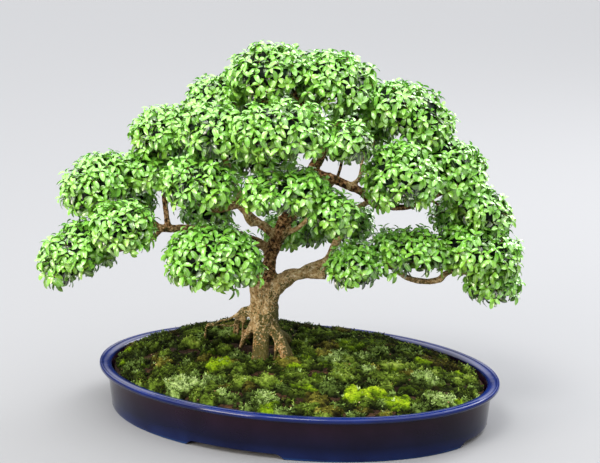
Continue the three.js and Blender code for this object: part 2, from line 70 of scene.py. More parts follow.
def addNode(tree, kind, inputs=None, **settings):
    node = tree.nodes.new(kind)
    for name, value in settings.items():
        if name == "stops":
            ramp = node.color_ramp
            while len(ramp.elements) < len(value):
                ramp.elements.new(0.5)
            for element, (place, code) in zip(ramp.elements, value):
                element.position = place
                element.color = hexColour(code)
        else:
            setattr(node, name, value)
    setInputs(tree, node, inputs or {})
    return node


def newMaterial(name):
    material = bpy.data.materials.new(name)
    material.use_nodes = True
    tree = material.node_tree
    tree.nodes.clear()
    shader = addNode(tree, "ShaderNodeBsdfPrincipled")
    addNode(tree, "ShaderNodeOutputMaterial", {"Surface": shader.outputs["BSDF"]})
    return material, tree, shader


def deselectAll():
    if bpy.context.object and bpy.context.object.mode != "OBJECT":
        bpy.ops.object.mode_set(mode="OBJECT")
    bpy.ops.object.select_all(action="DESELECT")


def pickOnly(piece):
    deselectAll()
    piece.select_set(True)
    bpy.context.view_layer.objects.active = piece


def startPiece(name):
    piece = bpy.context.object
    piece.name = name
    piece.data.name = name
    return piece


def bakeModifier(piece, kind, **settings):
    pickOnly(piece)
    modifier = piece.modifiers.new(kind.title(), kind)
    for name, value in settings.items():
        setattr(modifier, name, value)
    bpy.ops.object.modifier_apply(modifier=modifier.name)


def joinPieces(pieces, name):
    deselectAll()
    for piece in pieces:
        piece.select_set(True)
    bpy.context.view_layer.objects.active = pieces[0]
    if len(pieces) > 1:
        bpy.ops.object.join()
    return startPiece(name)


def settle(piece):
    pickOnly(piece)
    bpy.ops.object.transform_apply(location=True, rotation=True, scale=True)


def readPoints(mesh):
    points = np.empty(len(mesh.vertices) * 3)
    mesh.vertices.foreach_get("co", points)
    return points.reshape(-1, 3)


def writePoints(mesh, points):
    mesh.vertices.foreach_set("co", np.asarray(points, dtype=float).ravel())
    mesh.update()


def paintPoints(mesh, name, values):
    attribute = mesh.attributes.new(name, "FLOAT", "POINT")
    attribute.data.foreach_set("value", np.asarray(values, dtype=float))


def paintColours(mesh, name, colours):
    attribute = mesh.attributes.new(name, "FLOAT_COLOR", "POINT")
    full = np.concatenate([colours, np.ones((len(colours), 1))], axis=1)
    attribute.data.foreach_set("color", full.ravel())


# A small piece that was modelled once gives its points and faces to its copies, and goes.
def takeModel(piece):
    points = readPoints(piece.data)
    faces = np.array([list(face.vertices) for face in piece.data.polygons])
    bpy.data.objects.remove(piece)
    return points, faces


# All copies of a model in one piece: points has the model's points copy by copy.
def addCopies(name, points, faces):
    count, size = points.shape[:2]
    allFaces = faces[None] + (np.arange(count) * size)[:, None, None]
    mesh = bpy.data.meshes.new(name)
    mesh.from_pydata(points.reshape(-1, 3).tolist(), [], allFaces.reshape(-1, faces.shape[1]).tolist())
    piece = bpy.data.objects.new(name, mesh)
    bpy.context.collection.objects.link(piece)
    return piece


def finishPiece(piece, materials, slot, *nodes, smooth=True):
    piece.data.materials.clear()
    for material in materials:
        piece.data.materials.append(material)
    if smooth:
        pickOnly(piece)
        bpy.ops.object.shade_smooth()
    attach(piece, "root")
    if nodes:
        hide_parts(*nodes)
    print("made", piece.name, len(piece.data.polygons), "faces")


def unit(vectors):
    return vectors / np.linalg.norm(vectors, axis=1, keepdims=True)


def turned(x, y, angle):
    return x * np.cos(angle) - y * np.sin(angle), x * np.sin(angle) + y * np.cos(angle)


# Millimetres from the middle of the pot's base, as places in the scene.
def potPoints(points):
    return points * mm + np.array(potCentre)


# The tree stands turned on the pot: its own directions are across, depth and up, in millimetres.
treeTurn = math.radians(25)


def treePoints(points):
    points = np.asarray(points, dtype=float)
    x, y = turned(points[..., 0], points[..., 1], treeTurn)
    return potPoints(np.stack([x, y, points[..., 2]], axis=-1))


# A smooth line through given points of [across, depth, up, radius].
def smoothLine(line, step):
    knots = np.array([line[0], *line, line[-1]], dtype=float)
    knots[0] = 2 * knots[1] - knots[2]
    knots[-1] = 2 * knots[-2] - knots[-3]
    rows = []
    for i in range(1, len(knots) - 2):
        a, b, c, d = knots[i - 1:i + 3]
        count = max(1, round(float(np.linalg.norm(c[:3] - b[:3])) / step))
        for t in np.arange(count) / count:
            rows.append(0.5 * (2 * b + (c - a) * t + (2 * a - 5 * b + 4 * c - d) * t ** 2
                               + (3 * b - a - 3 * c + d) * t ** 3))
    rows.append(knots[-2])
    return np.array(rows)


# Camera, light and floor.

cameraShape = {
    "azimuth": 25,        # degrees round from the pot's short axis
    "elevation": 13,
    "distance": 2.303,    # metres to the middle of the pot's base
    "lens": 114, "sensorWidth": 36, "clipEnd": 60,
    "baseRight": -4.1,    # where the middle of the base is seen, in pixels from the frame's middle
    "baseDown": 179.0,
    "focalPixels": 1900,
}


def addCamera():
    turn, lift = math.radians(cameraShape["azimuth"]), math.radians(cameraShape["elevation"])
    back = Vector((math.sin(turn) * math.cos(lift), -math.cos(turn) * math.cos(lift), math.sin(lift)))
    right = Vector((math.cos(turn), math.sin(turn), 0))
    up = back.cross(right)
    aside = right * cameraShape["baseRight"] - up * cameraShape["baseDown"]
    sight = aside / cameraShape["focalPixels"] - back
    deselectAll()
    bpy.ops.object.camera_add(location=potCentre - sight.normalized() * cameraShape["distance"])
    camera = bpy.context.object
    camera.rotation_euler = Matrix((right, up, back)).transposed().to_euler()
    camera.data.lens = cameraShape["lens"]
    camera.data.sensor_width = cameraShape["sensorWidth"]
    camera.data.clip_end = cameraShape["clipEnd"]
    bpy.context.scene.camera = camera


lightShape = {
    # each light as the place that it shines from, its power, its angle or size, and its colour
    "key": {"kind": "SUN", "place": (-0.1, -1.2, 2.1), "power": 1.2, "spread": math.radians(20),
            "colour": "#fffdf8"},
    "low": {"kind": "AREA", "place": (-0.9, -2.0, 0.55), "power": 34, "spread": 0.9, "colour": "#fff4e4"},
    "rim": {"kind": "AREA", "place": (0.8, 1.7, 1.9), "power": 36, "spread": 1.2, "colour": "#ffffff"},
    "sky": [(0.5, "#15171a"), (0.63, "#33373c"), (0.74, "#ffffff")],    # from the side up to overhead
    "skyPower": 2.42,
    "wall": "#c8c9cb",        # what the camera sees behind the object
    "aim": (0, 0, 0.2),
}


def addLights():
    for name in ("key", "low", "rim"):
        shape = lightShape[name]
        deselectAll()
        bpy.ops.object.light_add(type=shape["kind"], location=shape["place"])
        light = bpy.context.object
        light.name = name + "Light"
        way = Vector(lightShape["aim"]) - light.location
        light.rotation_euler = way.to_track_quat("-Z", "Y").to_euler()
        setattr(light.data, "angle" if shape["kind"] == "SUN" else "size", shape["spread"])
        light.data.energy = shape["power"]
        light.data.color = hexColour(shape["colour"])[:3]
    world = bpy.data.worlds.new("studioWorld")
    world.use_nodes = True
    tree = world.node_tree
    tree.nodes.clear()
    way = addNode(tree, "ShaderNodeTexCoord").outputs["Generated"]
    up = addNode(tree, "ShaderNodeSeparateXYZ", {"Vector": way}).outputs["Z"]
    half = addNode(tree, "ShaderNodeMath", {0: up, 1: 0.5, 2: 0.5}, operation="MULTIPLY_ADD")
    dome = addNode(tree, "ShaderNodeValToRGB", {"Fac": half}, stops=lightShape["sky"])
    lit = addNode(tree, "ShaderNodeBackground", {"Color": dome, "Strength": lightShape["skyPower"]})
    wall = addNode(tree, "ShaderNodeBackground", {"Color": hexColour(lightShape["wall"])})
    ray = addNode(tree, "ShaderNodeLightPath").outputs["Is Camera Ray"]
    both = addNode(tree, "ShaderNodeMixShader", {0: ray, 1: lit, 2: wall})
    addNode(tree, "ShaderNodeOutputWorld", {"Surface": both})
    bpy.context.scene.world = world
    bpy.context.scene.view_settings.view_transform = "Standard"


def addFloor():
    material, tree, shader = newMaterial("matt paper sweep")  # an even pale ground, no gloss
    setInputs(tree, shader, {"Base Color": hexColour("#8a8b8e"), "Roughness": 0.9})
    deselectAll()
    bpy.ops.mesh.primitive_plane_add(size=24)
    floor = startPiece("floor")
    floor.data.materials.append(material)


addCamera()
addLights()
addFloor()
print("camera, lights and floor set")


# The pot.

potShape = {
    "halfLength": 250, "halfWidth": 185, "around": 192,
    # each ring as [distance in from the rim's outline, height], from under the floor round to its top
    "rings": [
        [24, 7], [23.4, 1.2], [22.6, 0.3], [21.6, 0], [16.4, 0], [15, 0.5], [14.3, 2.2], [14.2, 6],
        [13.6, 12], [12.6, 20], [11.5, 30], [10.4, 39], [9.4, 45], [8.6, 47.4], [6.8, 48.3], [3.2, 48.5],
        [1.3, 49], [0.3, 50.3], [0, 51.8], [0.3, 53.4], [1.2, 54.6], [2.4, 55], [3.5, 54.7], [4.2, 54.2],
        [5, 54.6], [6.2, 54.9], [9, 54.8], [12, 54.3], [14.2, 53], [15.2, 51], [16.4, 40], [18, 28],
        [20, 19], [21.4, 16.2], [24, 15]],
    # the recesses between the feet: half lengths, height, and the length of their ogee ends
    "frontRecess": 67, "sideRecess": 49, "recessRise": 6.4, "recessEase": 15,
    "drainRadius": 10, "drainOffset": 110,
    "edgeRound": 0.6,
    # heights under which the floor, the foot's inner side and its standing face are bare, and the lip's
    "bareFloor": 12, "bareFoot": 6.8, "bareStand": 0.6, "lipFrom": 48.6,
}


# Cobalt glaze on stoneware, fired: glassy and deep blue where it pooled on the lip, thinner on the wall,
# where the plum of its upper part is a painted reflection of a brown wooden stand, and lighter again where
# it gathered at the foot.
glazeKinds = {
    "lip": {"name": "cobalt glaze, pooled", "roughness": 0.07, "shine": 0.4, "stops": [
        (0.0, "#08163f"), (0.84, "#020921"), (0.93, "#021146"), (1.0, "#031e64")]},
    "wall": {"name": "cobalt glaze, thin", "roughness": 0.12, "shine": 0.2, "stops": [
        # the plum stops high on the wall are a painted reflection of a brown wooden stand
        (0.0, "#1b3f70"), (0.05, "#101d46"), (0.3, "#0a0d28"), (0.55, "#160c20"), (0.8, "#220f1e")]},
}


def glazeMaterial(kind):
    shape = glazeKinds[kind]
    material, tree, shader = newMaterial(shape["name"])
    place = addNode(tree, "ShaderNodeTexCoord").outputs["Object"]
    height = addNode(tree, "ShaderNodeSeparateXYZ", {"Vector": place}).outputs["Z"]
    share = addNode(tree, "ShaderNodeMapRange", {"Value": height, "From Min": 0.0, "From Max": 0.055})
    drift = addNode(tree, "ShaderNodeTexNoise", {"Vector": place, "Scale": 9.0, "Detail": 3.0})
    wander = addNode(tree, "ShaderNodeMath", {0: drift, 1: 0.16, 2: -0.08}, operation="MULTIPLY_ADD")
    shifted = addNode(tree, "ShaderNodeMath", {0: share, 1: wander}, operation="ADD")
    depth = addNode(tree, "ShaderNodeValToRGB", {"Fac": shifted}, stops=shape["stops"])
    cloud = addNode(tree, "ShaderNodeTexNoise", {"Vector": place, "Scale": 22.0, "Detail": 4.0})
    clouds = addNode(tree, "ShaderNodeValToRGB", {"Fac": cloud}, stops=[
        (0.38, "#ffffff"), (0.68, "#b9a3bd")])
    mixed = addNode(tree, "ShaderNodeMixRGB", {
        "Fac": 0.8, "Color1": depth, "Color2": clouds}, blend_type="MULTIPLY")
    ripple = addNode(tree, "ShaderNodeTexNoise", {"Vector": place, "Scale": 60.0, "Detail": 2.0})
    bump = addNode(tree, "ShaderNodeBump", {"Height": ripple, "Strength": 0.08, "Distance": 0.002})
    setInputs(tree, shader, {
        "Base Color": mixed, "Roughness": shape["roughness"], "IOR": 1.5,
        "Specular IOR Level": shape["shine"], "Normal": bump})
    return material


# Bare fired stoneware under the foot: gritty, dry and warm brown.
def clayMaterial():
    material, tree, shader = newMaterial("unglazed stoneware")
    place = addNode(tree, "ShaderNodeTexCoord").outputs["Object"]
    grit = addNode(tree, "ShaderNodeTexNoise", {"Vector": place, "Scale": 900.0, "Detail": 3.0})
    tone = addNode(tree, "ShaderNodeValToRGB", {"Fac": grit}, stops=[
        (0.3, "#5c4533"), (0.7, "#8b6c50")])
    bump = addNode(tree, "ShaderNodeBump", {"Height": grit, "Strength": 0.3, "Distance": 0.0005})
    setInputs(tree, shader, {"Base Color": tone, "Roughness": 0.85, "Normal": bump})
    return material


def ringHalves(inset):
    return (potShape["halfLength"] - inset) * mm, (potShape["halfWidth"] - inset) * mm


# The wall and floor, extruded ring by ring, and closed over both ends of the rings.
def modelShell():
    deselectAll()
    rings = potShape["rings"]
    bpy.ops.mesh.primitive_circle_add(vertices=potShape["around"], radius=1, fill_type="NOTHING")
    pot = startPiece("glazedPot")
    bpy.ops.object.mode_set(mode="EDIT")
    bpy.ops.mesh.select_all(action="SELECT")
    length, width = ringHalves(rings[0][0])
    bpy.ops.transform.resize(value=(length, width, 1), center_override=(0, 0, 0))
    bpy.ops.transform.translate(value=(0, 0, rings[0][1] * mm))
    for (inset, height), (nextInset, nextHeight) in zip(rings, rings[1:]):
        old, new = ringHalves(inset), ringHalves(nextInset)
        bpy.ops.mesh.extrude_region_move(
            TRANSFORM_OT_translate={"value": (0, 0, (nextHeight - height) * mm)})
        bpy.ops.transform.resize(value=(new[0] / old[0], new[1] / old[1], 1), center_override=(0, 0, 0))
    bpy.ops.mesh.edge_face_add()
    bpy.ops.mesh.select_all(action="DESELECT")
    bpy.ops.mesh.select_mode(type="EDGE")
    bpy.ops.mesh.select_non_manifold(extend=False)
    bpy.ops.mesh.edge_face_add()
    bpy.ops.mesh.select_all(action="SELECT")
    bpy.ops.mesh.normals_make_consistent(inside=False)
    bpy.ops.object.mode_set(mode="OBJECT")
    return pot


# A flat bar with eased upper ends, which cuts the recesses of two opposite sides out of the foot.
def modelRecess(half, turn):
    deselectAll()
    bpy.ops.mesh.primitive_cube_add(size=1)
    cutter = startPiece("recessCutter")
    bpy.ops.object.mode_set(mode="EDIT")
    bpy.ops.mesh.select_all(action="SELECT")
    bpy.ops.transform.resize(value=(2 * half * mm, 0.6, 0.04), center_override=(0, 0, 0))
    bpy.ops.transform.translate(value=(0, 0, potShape["recessRise"] * mm - 0.02))
    bpy.ops.mesh.select_all(action="DESELECT")
    bpy.ops.object.mode_set(mode="OBJECT")
    for edge in cutter.data.edges:
        ends = [cutter.data.vertices[i].co for i in edge.vertices]
        edge.select = abs(ends[0].y - ends[1].y) > 0.1 and ends[0].z > 0
    bpy.ops.object.mode_set(mode="EDIT")
    bpy.ops.mesh.bevel(offset=potShape["recessEase"] * mm, segments=8, profile=0.42)
    bpy.ops.object.mode_set(mode="OBJECT")
    cutter.rotation_euler.z = turn
    settle(cutter)
    return cutter


def modelDrain(offset):
    deselectAll()
    bpy.ops.mesh.primitive_cylinder_add(vertices=48, radius=potShape["drainRadius"] * mm, depth=0.04,
                                        location=(offset * mm, 0, 0.011))
    cutter = startPiece("drainCutter")
    settle(cutter)
    return cutter


def addPot():
    pot = modelShell()
    cutters = [modelRecess(potShape["frontRecess"], 0), modelRecess(potShape["sideRecess"], math.pi / 2),
               modelDrain(-potShape["drainOffset"]), modelDrain(potShape["drainOffset"])]
    for cutter in cutters:
        bakeModifier(pot, "BOOLEAN", object=cutter, operation="DIFFERENCE", solver="EXACT")
        bpy.data.objects.remove(cutter)
    bakeModifier(pot, "BEVEL", width=potShape["edgeRound"] * mm, segments=2, limit_method="ANGLE",
                 angle_limit=math.radians(50))
    pot.location = potCentre
    settle(pot)
    finishPiece(pot, [glazeMaterial("wall"), clayMaterial(), glazeMaterial("lip")], "glaze", "pot")
    for face in pot.data.polygons:  # the foot's standing face and all beneath the pot stay bare
        height = face.center.z / mm
        outward = face.normal.dot(Vector((face.center.x, face.center.y, 0)))
        beneath = face.normal.z < -0.5 and height < potShape["bareFloor"]
        footInside = outward < 0 and height < potShape["bareFoot"]
        bare = beneath or footInside or height < potShape["bareStand"]
        face.material_index = 1 if bare else 2 if height > potShape["lipFrom"] else 0
    pickOnly(pot)
    bpy.ops.object.shade_smooth_by_angle(angle=math.radians(40))


addPot()


# The ground: soil with cushions of moss.

groundShape = {
    "halfLength": 231.5, "halfWidth": 166.5,
    "moundLength": 234.5, "moundWidth": 169.5, "edge": 51, "rise": 25.5, "power": 3.2,
    "backLift": 0.0022, "leftLift": 0.0025,    # the mound is higher behind and to the left
    "soilCells": 84, "soilDrop": 6.2, "grain": 1.1, "edgeFade": 30,
    "soilSkirt": [(12, 0.993), (14, 0.985), (4, 0.98)],    # steps down the pot's wall, and in
}
mossShape = {
    "cells": 205, "inset": 2.5, "skirt": [(4.0, 0.985)],
    "rimFrom": 0.985, "rimHeight": 1.5,    # the moss is kept low along the pot's lip
    "cushions": 300, "size": [9, 25], "height": [4.5, 10.5], "spacing": 0.5,
    "drawn": [0, 0, 0, 0, 1, 2, 2, 3], "tone": [0.05, 0.85],
    "warp": 7.5, "wobble": 0.24, "sunk": 3.0,
    "bare": 12, "bareFrom": 0.14, "rootBareEase": 14, "rootBareness": 0.55,
    "lumps": [1.7, 0.8],    # heights of the wider and the finer lumps on a cushion
    # how much the hollows and the dips between lumps are darkened, as painted shade, and how much patches
    # vary at random
    "hollowShade": 1.25, "lumpShade": 0.12, "patchTone": 0.22,
    "rootBare": [[-36, -12, 40], [-72, -8, 32]],    # soil shows round the trunk's foot and its roots
    "shade": 0.52, "shadeFrom": 15, "shadeOver": 100,    # painted shadow of the crown, dark behind the trunk
}
# Kinds of moss, each as its greens from the hollow, dark as painted shade, to the top, and the size of its
# sprigs in millimetres.
mossKinds = [
    {"greens": ["#060803", "#2c360d", "#668026", "#a2b850"], "sprig": [1.2, 2.2]},    # common green
    {"greens": ["#080a03", "#394c0a", "#74950f", "#aec826"], "sprig": [0.7, 1.2]},    # yellow velvet
    {"greens": ["#080a04", "#384718", "#7d9a48", "#bcd288"], "sprig": [1.6, 2.8]},    # pale star moss
    {"greens": ["#090703", "#322f0e", "#6c6a23", "#a8a446"], "sprig": [1.0, 1.8]},    # old and olive
]


def moundHeight(x, y):  # millimetres, from the middle of the pot
    reach = np.hypot(x / groundShape["moundLength"], y / groundShape["moundWidth"])
    slope = 1 + groundShape["backLift"] * y - groundShape["leftLift"] * x
    dome = np.maximum(0, 1 - reach ** groundShape["power"])
    return groundShape["edge"] + groundShape["rise"] * dome * slope


# Smooth noise over places in millimetres. size is how wide its lumps are, and seed picks another pattern.
def noiseAt(points, size, seed=0.0):
    return np.array([noise.noise(Vector(place)) for place in points / size + [seed, -seed, 0]])


# Listed cushions that stand out: [across, depth, radius, height, kind of moss, tone].
chosenCushions = [
    [-90, -44, 17, 12, 1, 0.55], [-138, -84, 25, 10, 2, 0.75], [-86, -146, 11, 8, 1, 0.95],
    [92, -112, 17, 8, 1, 0.85], [118, -134, 21, 7, 1, 0.8], [166, -118, 25, 7, 2, 0.9],
    [60, -66, 22, 10, 0, 0.5], [110, -70, 20, 8, 0, 0.45], [-190, -60, 20, 8, 0, 0.8],
    [-160, -20, 16, 9, 3, 0.7], [-60, -90, 18, 9, 0, 0.6], [10, -90, 17, 8, 0, 0.5],
    [20, -136, 22, 7, 3, 0.6], [-30, -128, 20, 8, 2, 0.6], [-45, -44, 12, 9, 0, 0.4],
    [-84, 6, 13, 9, 0, 0.35], [12, -40, 15, 8, 0, 0.6], [-128, 30, 17, 11, 0, 0.65],
    [150, -60, 22, 9, 2, 0.5], [-108, -20, 12, 7, 3, 0.4],
]


def makeCushions():
    dice = random.Random(21)
    cushions = []
    for across, depth, *rest in chosenCushions:
        cushions.append([*turned(across, depth, treeTurn), *rest])
    for _ in range(40000):
        if len(cushions) == mossShape["cushions"]:
            break
        angle = dice.uniform(0, 2 * math.pi)
        share = math.sqrt(dice.random())
        x = share * groundShape["halfLength"] * math.cos(angle)
        y = share * groundShape["halfWidth"] * math.sin(angle)
        small, large = mossShape["size"]
        radius = small + (large - small) * dice.random() ** 2
        if all(math.hypot(x - c[0], y - c[1]) > mossShape["spacing"] * (radius + c[2]) for c in cushions):
            low, high = mossShape["height"]
            height = (low + (high - low) * dice.random()) * (0.7 + 0.3 * radius / large)
            kind = dice.choice(mossShape["drawn"])
            cushions.append([x, y, radius, height, kind, dice.uniform(*mossShape["tone"])])
    return np.array(cushions)


cushions = makeCushions()


# Height of the moss over the soil, and which cushion a point is on. The cushions' round outlines are
# warped, and bare patches of soil are left between them.
def mossRelief(x, y, flat):
    warp = mossShape["warp"]
    x = x + warp * (noiseAt(flat, 15, 11.0) + 0.5 * noiseAt(flat, 6, 5.0))
    y = y + warp * (noiseAt(flat, 15, 31.0) + 0.5 * noiseAt(flat, 6, 25.0))
    wobble = noiseAt(flat, 7.5) + 0.6 * noiseAt(flat, 3.1, 2.0)
    best = np.full(len(x), -mossShape["sunk"])
    owner = np.zeros(len(x), dtype=int)
    for i, (cx, cy, radius, height) in enumerate(cushions[:, :4]):
        far = np.hypot(x - cx, y - cy) / radius + mossShape["wobble"] * wobble
        dome = height * np.sqrt(np.clip(1 - far ** 2, 0, 1)) - mossShape["sunk"] * (far >= 1)
        owner = np.where(dome > best, i, owner)
        best = np.maximum(best, dome)
    bare = noiseAt(flat, 26, 8.0) + 0.5 * noiseAt(flat, 9, 14.0)
    for rootX, rootY, reach in mossShape["rootBare"]:
        near = (reach - np.hypot(x - rootX, y - rootY)) / mossShape["rootBareEase"]
        bare += mossShape["rootBareness"] * np.clip(near, 0, 1)
    return best - mossShape["bare"] * np.clip(bare - mossShape["bareFrom"], 0, 1), owner


# A square grid is laid on the oval, so that its cells stay even and no pole is left.
def layOnOval(piece, inset):
    points = readPoints(piece.data)
    u, v = points[:, 0], points[:, 1]
    x = u * np.sqrt(1 - v ** 2 / 2) * (groundShape["halfLength"] - inset)
    y = v * np.sqrt(1 - u ** 2 / 2) * (groundShape["halfWidth"] - inset)
    return x, y


# The open edge of a ground sheet is drawn down and in along the pot's wall, and closed beneath.
def closeBelow(piece, steps):
    pickOnly(piece)
    bpy.ops.object.mode_set(mode="EDIT")
    bpy.ops.mesh.select_mode(type="EDGE")
    bpy.ops.mesh.select_all(action="DESELECT")
    bpy.ops.mesh.select_non_manifold(extend=False)
    for drop, shrink in steps:
        bpy.ops.mesh.extrude_region_move(TRANSFORM_OT_translate={"value": (0, 0, -drop * mm)})
        bpy.ops.transform.resize(value=(shrink, shrink, 1), center_override=tuple(potCentre))
    bpy.ops.mesh.edge_face_add()
    bpy.ops.mesh.select_all(action="SELECT")
    bpy.ops.mesh.normals_make_consistent(inside=False)
    bpy.ops.object.mode_set(mode="OBJECT")


# Damp peat and grit: nearly black in the hollows, brown on the crumbs, with a few pale chips.
def soilMaterial():
    material, tree, shader = newMaterial("damp granular soil")
    place = addNode(tree, "ShaderNodeTexCoord").outputs["Object"]
    crumbs = addNode(tree, "ShaderNodeTexVoronoi", {"Vector": place, "Scale": 330.0})
    patch = addNode(tree, "ShaderNodeTexNoise", {"Vector": place, "Scale": 45.0, "Detail": 5.0})
    dark = addNode(tree, "ShaderNodeValToRGB", {"Fac": patch}, stops=[
        (0.3, "#231910"), (0.5, "#3d2e20"), (0.68, "#5c4835")])
    crumbTone = addNode(tree, "ShaderNodeSeparateColor", {"Color": crumbs.outputs["Color"]})
    chips = addNode(tree, "ShaderNodeValToRGB", {"Fac": crumbTone.outputs["Red"]}, stops=[
        (0.0, "#5c4c3e"), (0.5, "#86715c"), (0.94, "#b59c80"), (0.99, "#ffdcb0")])
    mixed = addNode(tree, "ShaderNodeMixRGB", {
        "Fac": 0.75, "Color1": dark, "Color2": chips}, blend_type="OVERLAY")
    bump = addNode(tree, "ShaderNodeBump", {"Height": crumbs, "Strength": 0.9, "Distance": 0.0016})
    setInputs(tree, shader, {
        "Base Color": mixed, "Roughness": 0.88, "Specular IOR Level": 0.15, "Normal": bump})
    return material


def addSoil():
    deselectAll()
    cells = groundShape["soilCells"]
    bpy.ops.mesh.primitive_grid_add(x_subdivisions=cells, y_subdivisions=cells, size=2)
    soil = startPiece("soilBed")
    x, y = layOnOval(soil, 0)
    flat = np.stack([x, y, np.zeros(len(x))], axis=1)
    grain = groundShape["grain"]
    crumb = grain * noiseAt(flat, 3.2) + 1.6 * grain * noiseAt(flat, 17, 4.0)
    inside = 1 - np.hypot(x / groundShape["halfLength"], y / groundShape["halfWidth"])
    fade = np.clip(inside * groundShape["edgeFade"], 0, 1)
    z = moundHeight(x, y) - groundShape["soilDrop"] + crumb * fade
    writePoints(soil.data, potPoints(np.stack([x, y, z], axis=1)))
    closeBelow(soil, groundShape["soilSkirt"])
    finishPiece(soil, [soilMaterial()], "soil", "soil")


# Moss: soft, matt, of many greens, which are painted on its points cushion by cushion, with painted shade
# in the hollows.
def mossMaterial():
    material, tree, shader = newMaterial("cushion moss")
    place = addNode(tree, "ShaderNodeTexCoord").outputs["Object"]
    tint = addNode(tree, "ShaderNodeAttribute", attribute_name="mossTint").outputs["Color"]
    speck = addNode(tree, "ShaderNodeTexNoise", {"Vector": place, "Scale": 420.0, "Detail": 4.0})
    vary = addNode(tree, "ShaderNodeValToRGB", {"Fac": speck}, stops=[
        (0.32, "#8c8c8c"), (0.5, "#e0e0e0"), (0.68, "#ffffff")])
    mixed = addNode(tree, "ShaderNodeMixRGB", {
        "Fac": 1.0, "Color1": tint, "Color2": vary}, blend_type="MULTIPLY")
    bump = addNode(tree, "ShaderNodeBump", {"Height": speck, "Strength": 0.9, "Distance": 0.0015})
    setInputs(tree, shader, {
        "Base Color": mixed, "Roughness": 0.95, "Specular IOR Level": 0.08, "Normal": bump})
    return material


# The green of a point: its kind's greens, from the hollow (0), in painted shade, to the sunlit top (1), in
# painted light.
def mossTint(kinds, tone):
    places = np.linspace(0, 1, len(mossKinds[0]["greens"]))
    tone = np.clip(tone, 0, 1)
    tints = np.zeros((len(tone), 3))
    for kind, shape in enumerate(mossKinds):
        greens = np.array([hexColour(code)[:3] for code in shape["greens"]])
        here = kinds == kind
        for channel in range(3):
            tints[here, channel] = np.interp(tone[here], places, greens[:, channel])
    return tints


def addMoss():
    deselectAll()
    cells = mossShape["cells"]
    bpy.ops.mesh.primitive_grid_add(x_subdivisions=cells, y_subdivisions=cells, size=2)
    moss = startPiece("mossCushions")
    x, y = layOnOval(moss, mossShape["inset"])
    flat = np.stack([x, y, np.zeros(len(x))], axis=1)
    relief, owner = mossRelief(x, y, flat)
    wide, fine = mossShape["lumps"]
    lumps = wide * noiseAt(flat, 5.2, 7.0) + fine * noiseAt(flat, 2.2, 3.0)
    relief = relief + lumps * (relief > 0)
    base = moundHeight(x, y) - groundShape["soilDrop"]
    z = base + relief
    edge = np.hypot(x / (groundShape["halfLength"] - mossShape["inset"]),
                    y / (groundShape["halfWidth"] - mossShape["inset"]))
    z = np.where(edge > mossShape["rimFrom"], np.minimum(z, base + mossShape["rimHeight"]), z)
    writePoints(moss.data, potPoints(np.stack([x, y, z], axis=1)))
    kinds = cushions[owner, 4].astype(int)
    # painted shade: darker towards the hollows between cushions and the dips between lumps, lighter on
    # their tops
    depth = np.clip((relief + 1) / 9.0, 0, 1)
    patch = noiseAt(flat, 13, 21.0) + 0.6 * noiseAt(flat, 5, 17.0)
    tone = depth ** mossShape["hollowShade"] * (0.35 + 0.65 * cushions[owner, 5])
    tone = tone + mossShape["lumpShade"] * lumps + mossShape["patchTone"] * patch
    # painted shadow: the moss is darkened further behind the trunk, where the crown shades it
    depthOnTree = turned(x, y, -treeTurn)[1]
    crownShadow = np.clip((depthOnTree - mossShape["shadeFrom"]) / mossShape["shadeOver"], 0, 1)
    tone = tone * (1 - mossShape["shade"] * crownShadow)
    paintColours(moss.data, "mossTint", mossTint(kinds, tone))
    closeBelow(moss, mossShape["skirt"])
    material = mossMaterial()
    finishPiece(moss, [material], "moss", "moss")
    addSprigs(np.stack([x, y, z], axis=1), relief, kinds, tone, material)


# One sprig of moss: five narrow pointed leaves that rise from one point, modelled once.
def modelSprig():
    deselectAll()
    bpy.ops.mesh.primitive_circle_add(vertices=10, radius=1, fill_type="TRIFAN")
    points, faces = takeModel(startPiece("sprigModel"))
    radius = np.hypot(points[:, 0], points[:, 1])
    angle = np.round((np.arctan2(points[:, 1], points[:, 0]) / (2 * math.pi)) * 10).astype(int)
    tips = (radius > 0.5) & (angle % 2 == 0)
    notches = (radius > 0.5) & ~tips
    points[notches] *= 0.3
    points[tips, 2] = 0.75
    points[notches, 2] = 0.15
    points[radius < 0.5, 2] = 0.3
    return points, faces


sprigShape = {
    "count": 13000, "from": 1.5,    # only where the moss is this high over the soil
    "scatter": 1.1, "lean": 0.4, "sink": 0.2,
    "brighter": 0.05, "vary": 0.17, "strays": 0.2,
}


def addSprigs(places, relief, kinds, tone, material):
    model, faces = modelSprig()
    dice = np.random.default_rng(5)
    count, scatter = sprigShape["count"], sprigShape["scatter"]
    picks = dice.choice(np.flatnonzero(relief > sprigShape["from"]), count)
    place = places[picks] + dice.uniform(-scatter, scatter, (count, 3)) * [1, 1, 0.3]
    stray = dice.random(count) < sprigShape["strays"]
    kind = np.where(stray, dice.integers(0, len(mossKinds), count), kinds[picks])
    sizes = np.array([shape["sprig"] for shape in mossKinds])[kind]
    size = dice.uniform(sizes[:, 0], sizes[:, 1])
    spin = dice.uniform(0, 2 * math.pi, count)
    lean = dice.normal(0, sprigShape["lean"], (count, 2))
    x, y = turned(model[None, :, 0], model[None, :, 1], spin[:, None])
    z = np.repeat(model[None, :, 2], count, axis=0) + x * lean[:, :1] + y * lean[:, 1:]
    points = np.stack([x, y, z], axis=2) * size[:, None, None]
    points += place[:, None, :] - [0, 0, sprigShape["sink"]]
    sprigs = addCopies("mossSprigs", potPoints(points), faces)
    # the sprigs take the tone of the moss beneath them, with its painted shade
    tints = tone[picks] + sprigShape["brighter"] + dice.normal(0, sprigShape["vary"], count)
    paintColours(sprigs.data, "mossTint", np.repeat(mossTint(kind, tints), len(model), axis=0))
    finishPiece(sprigs, [material], "moss", smooth=False)


# Chips of pumice and bark that lie on the soil: one chip is modelled, then copied.
chipShape = {
    "count": 90, "size": [0.8, 2.0], "flat": [1.0, 0.75, 0.55],
    "colours": ["#b08d63", "#8a5f3e", "#c9b08a", "#6d4a33"],
}


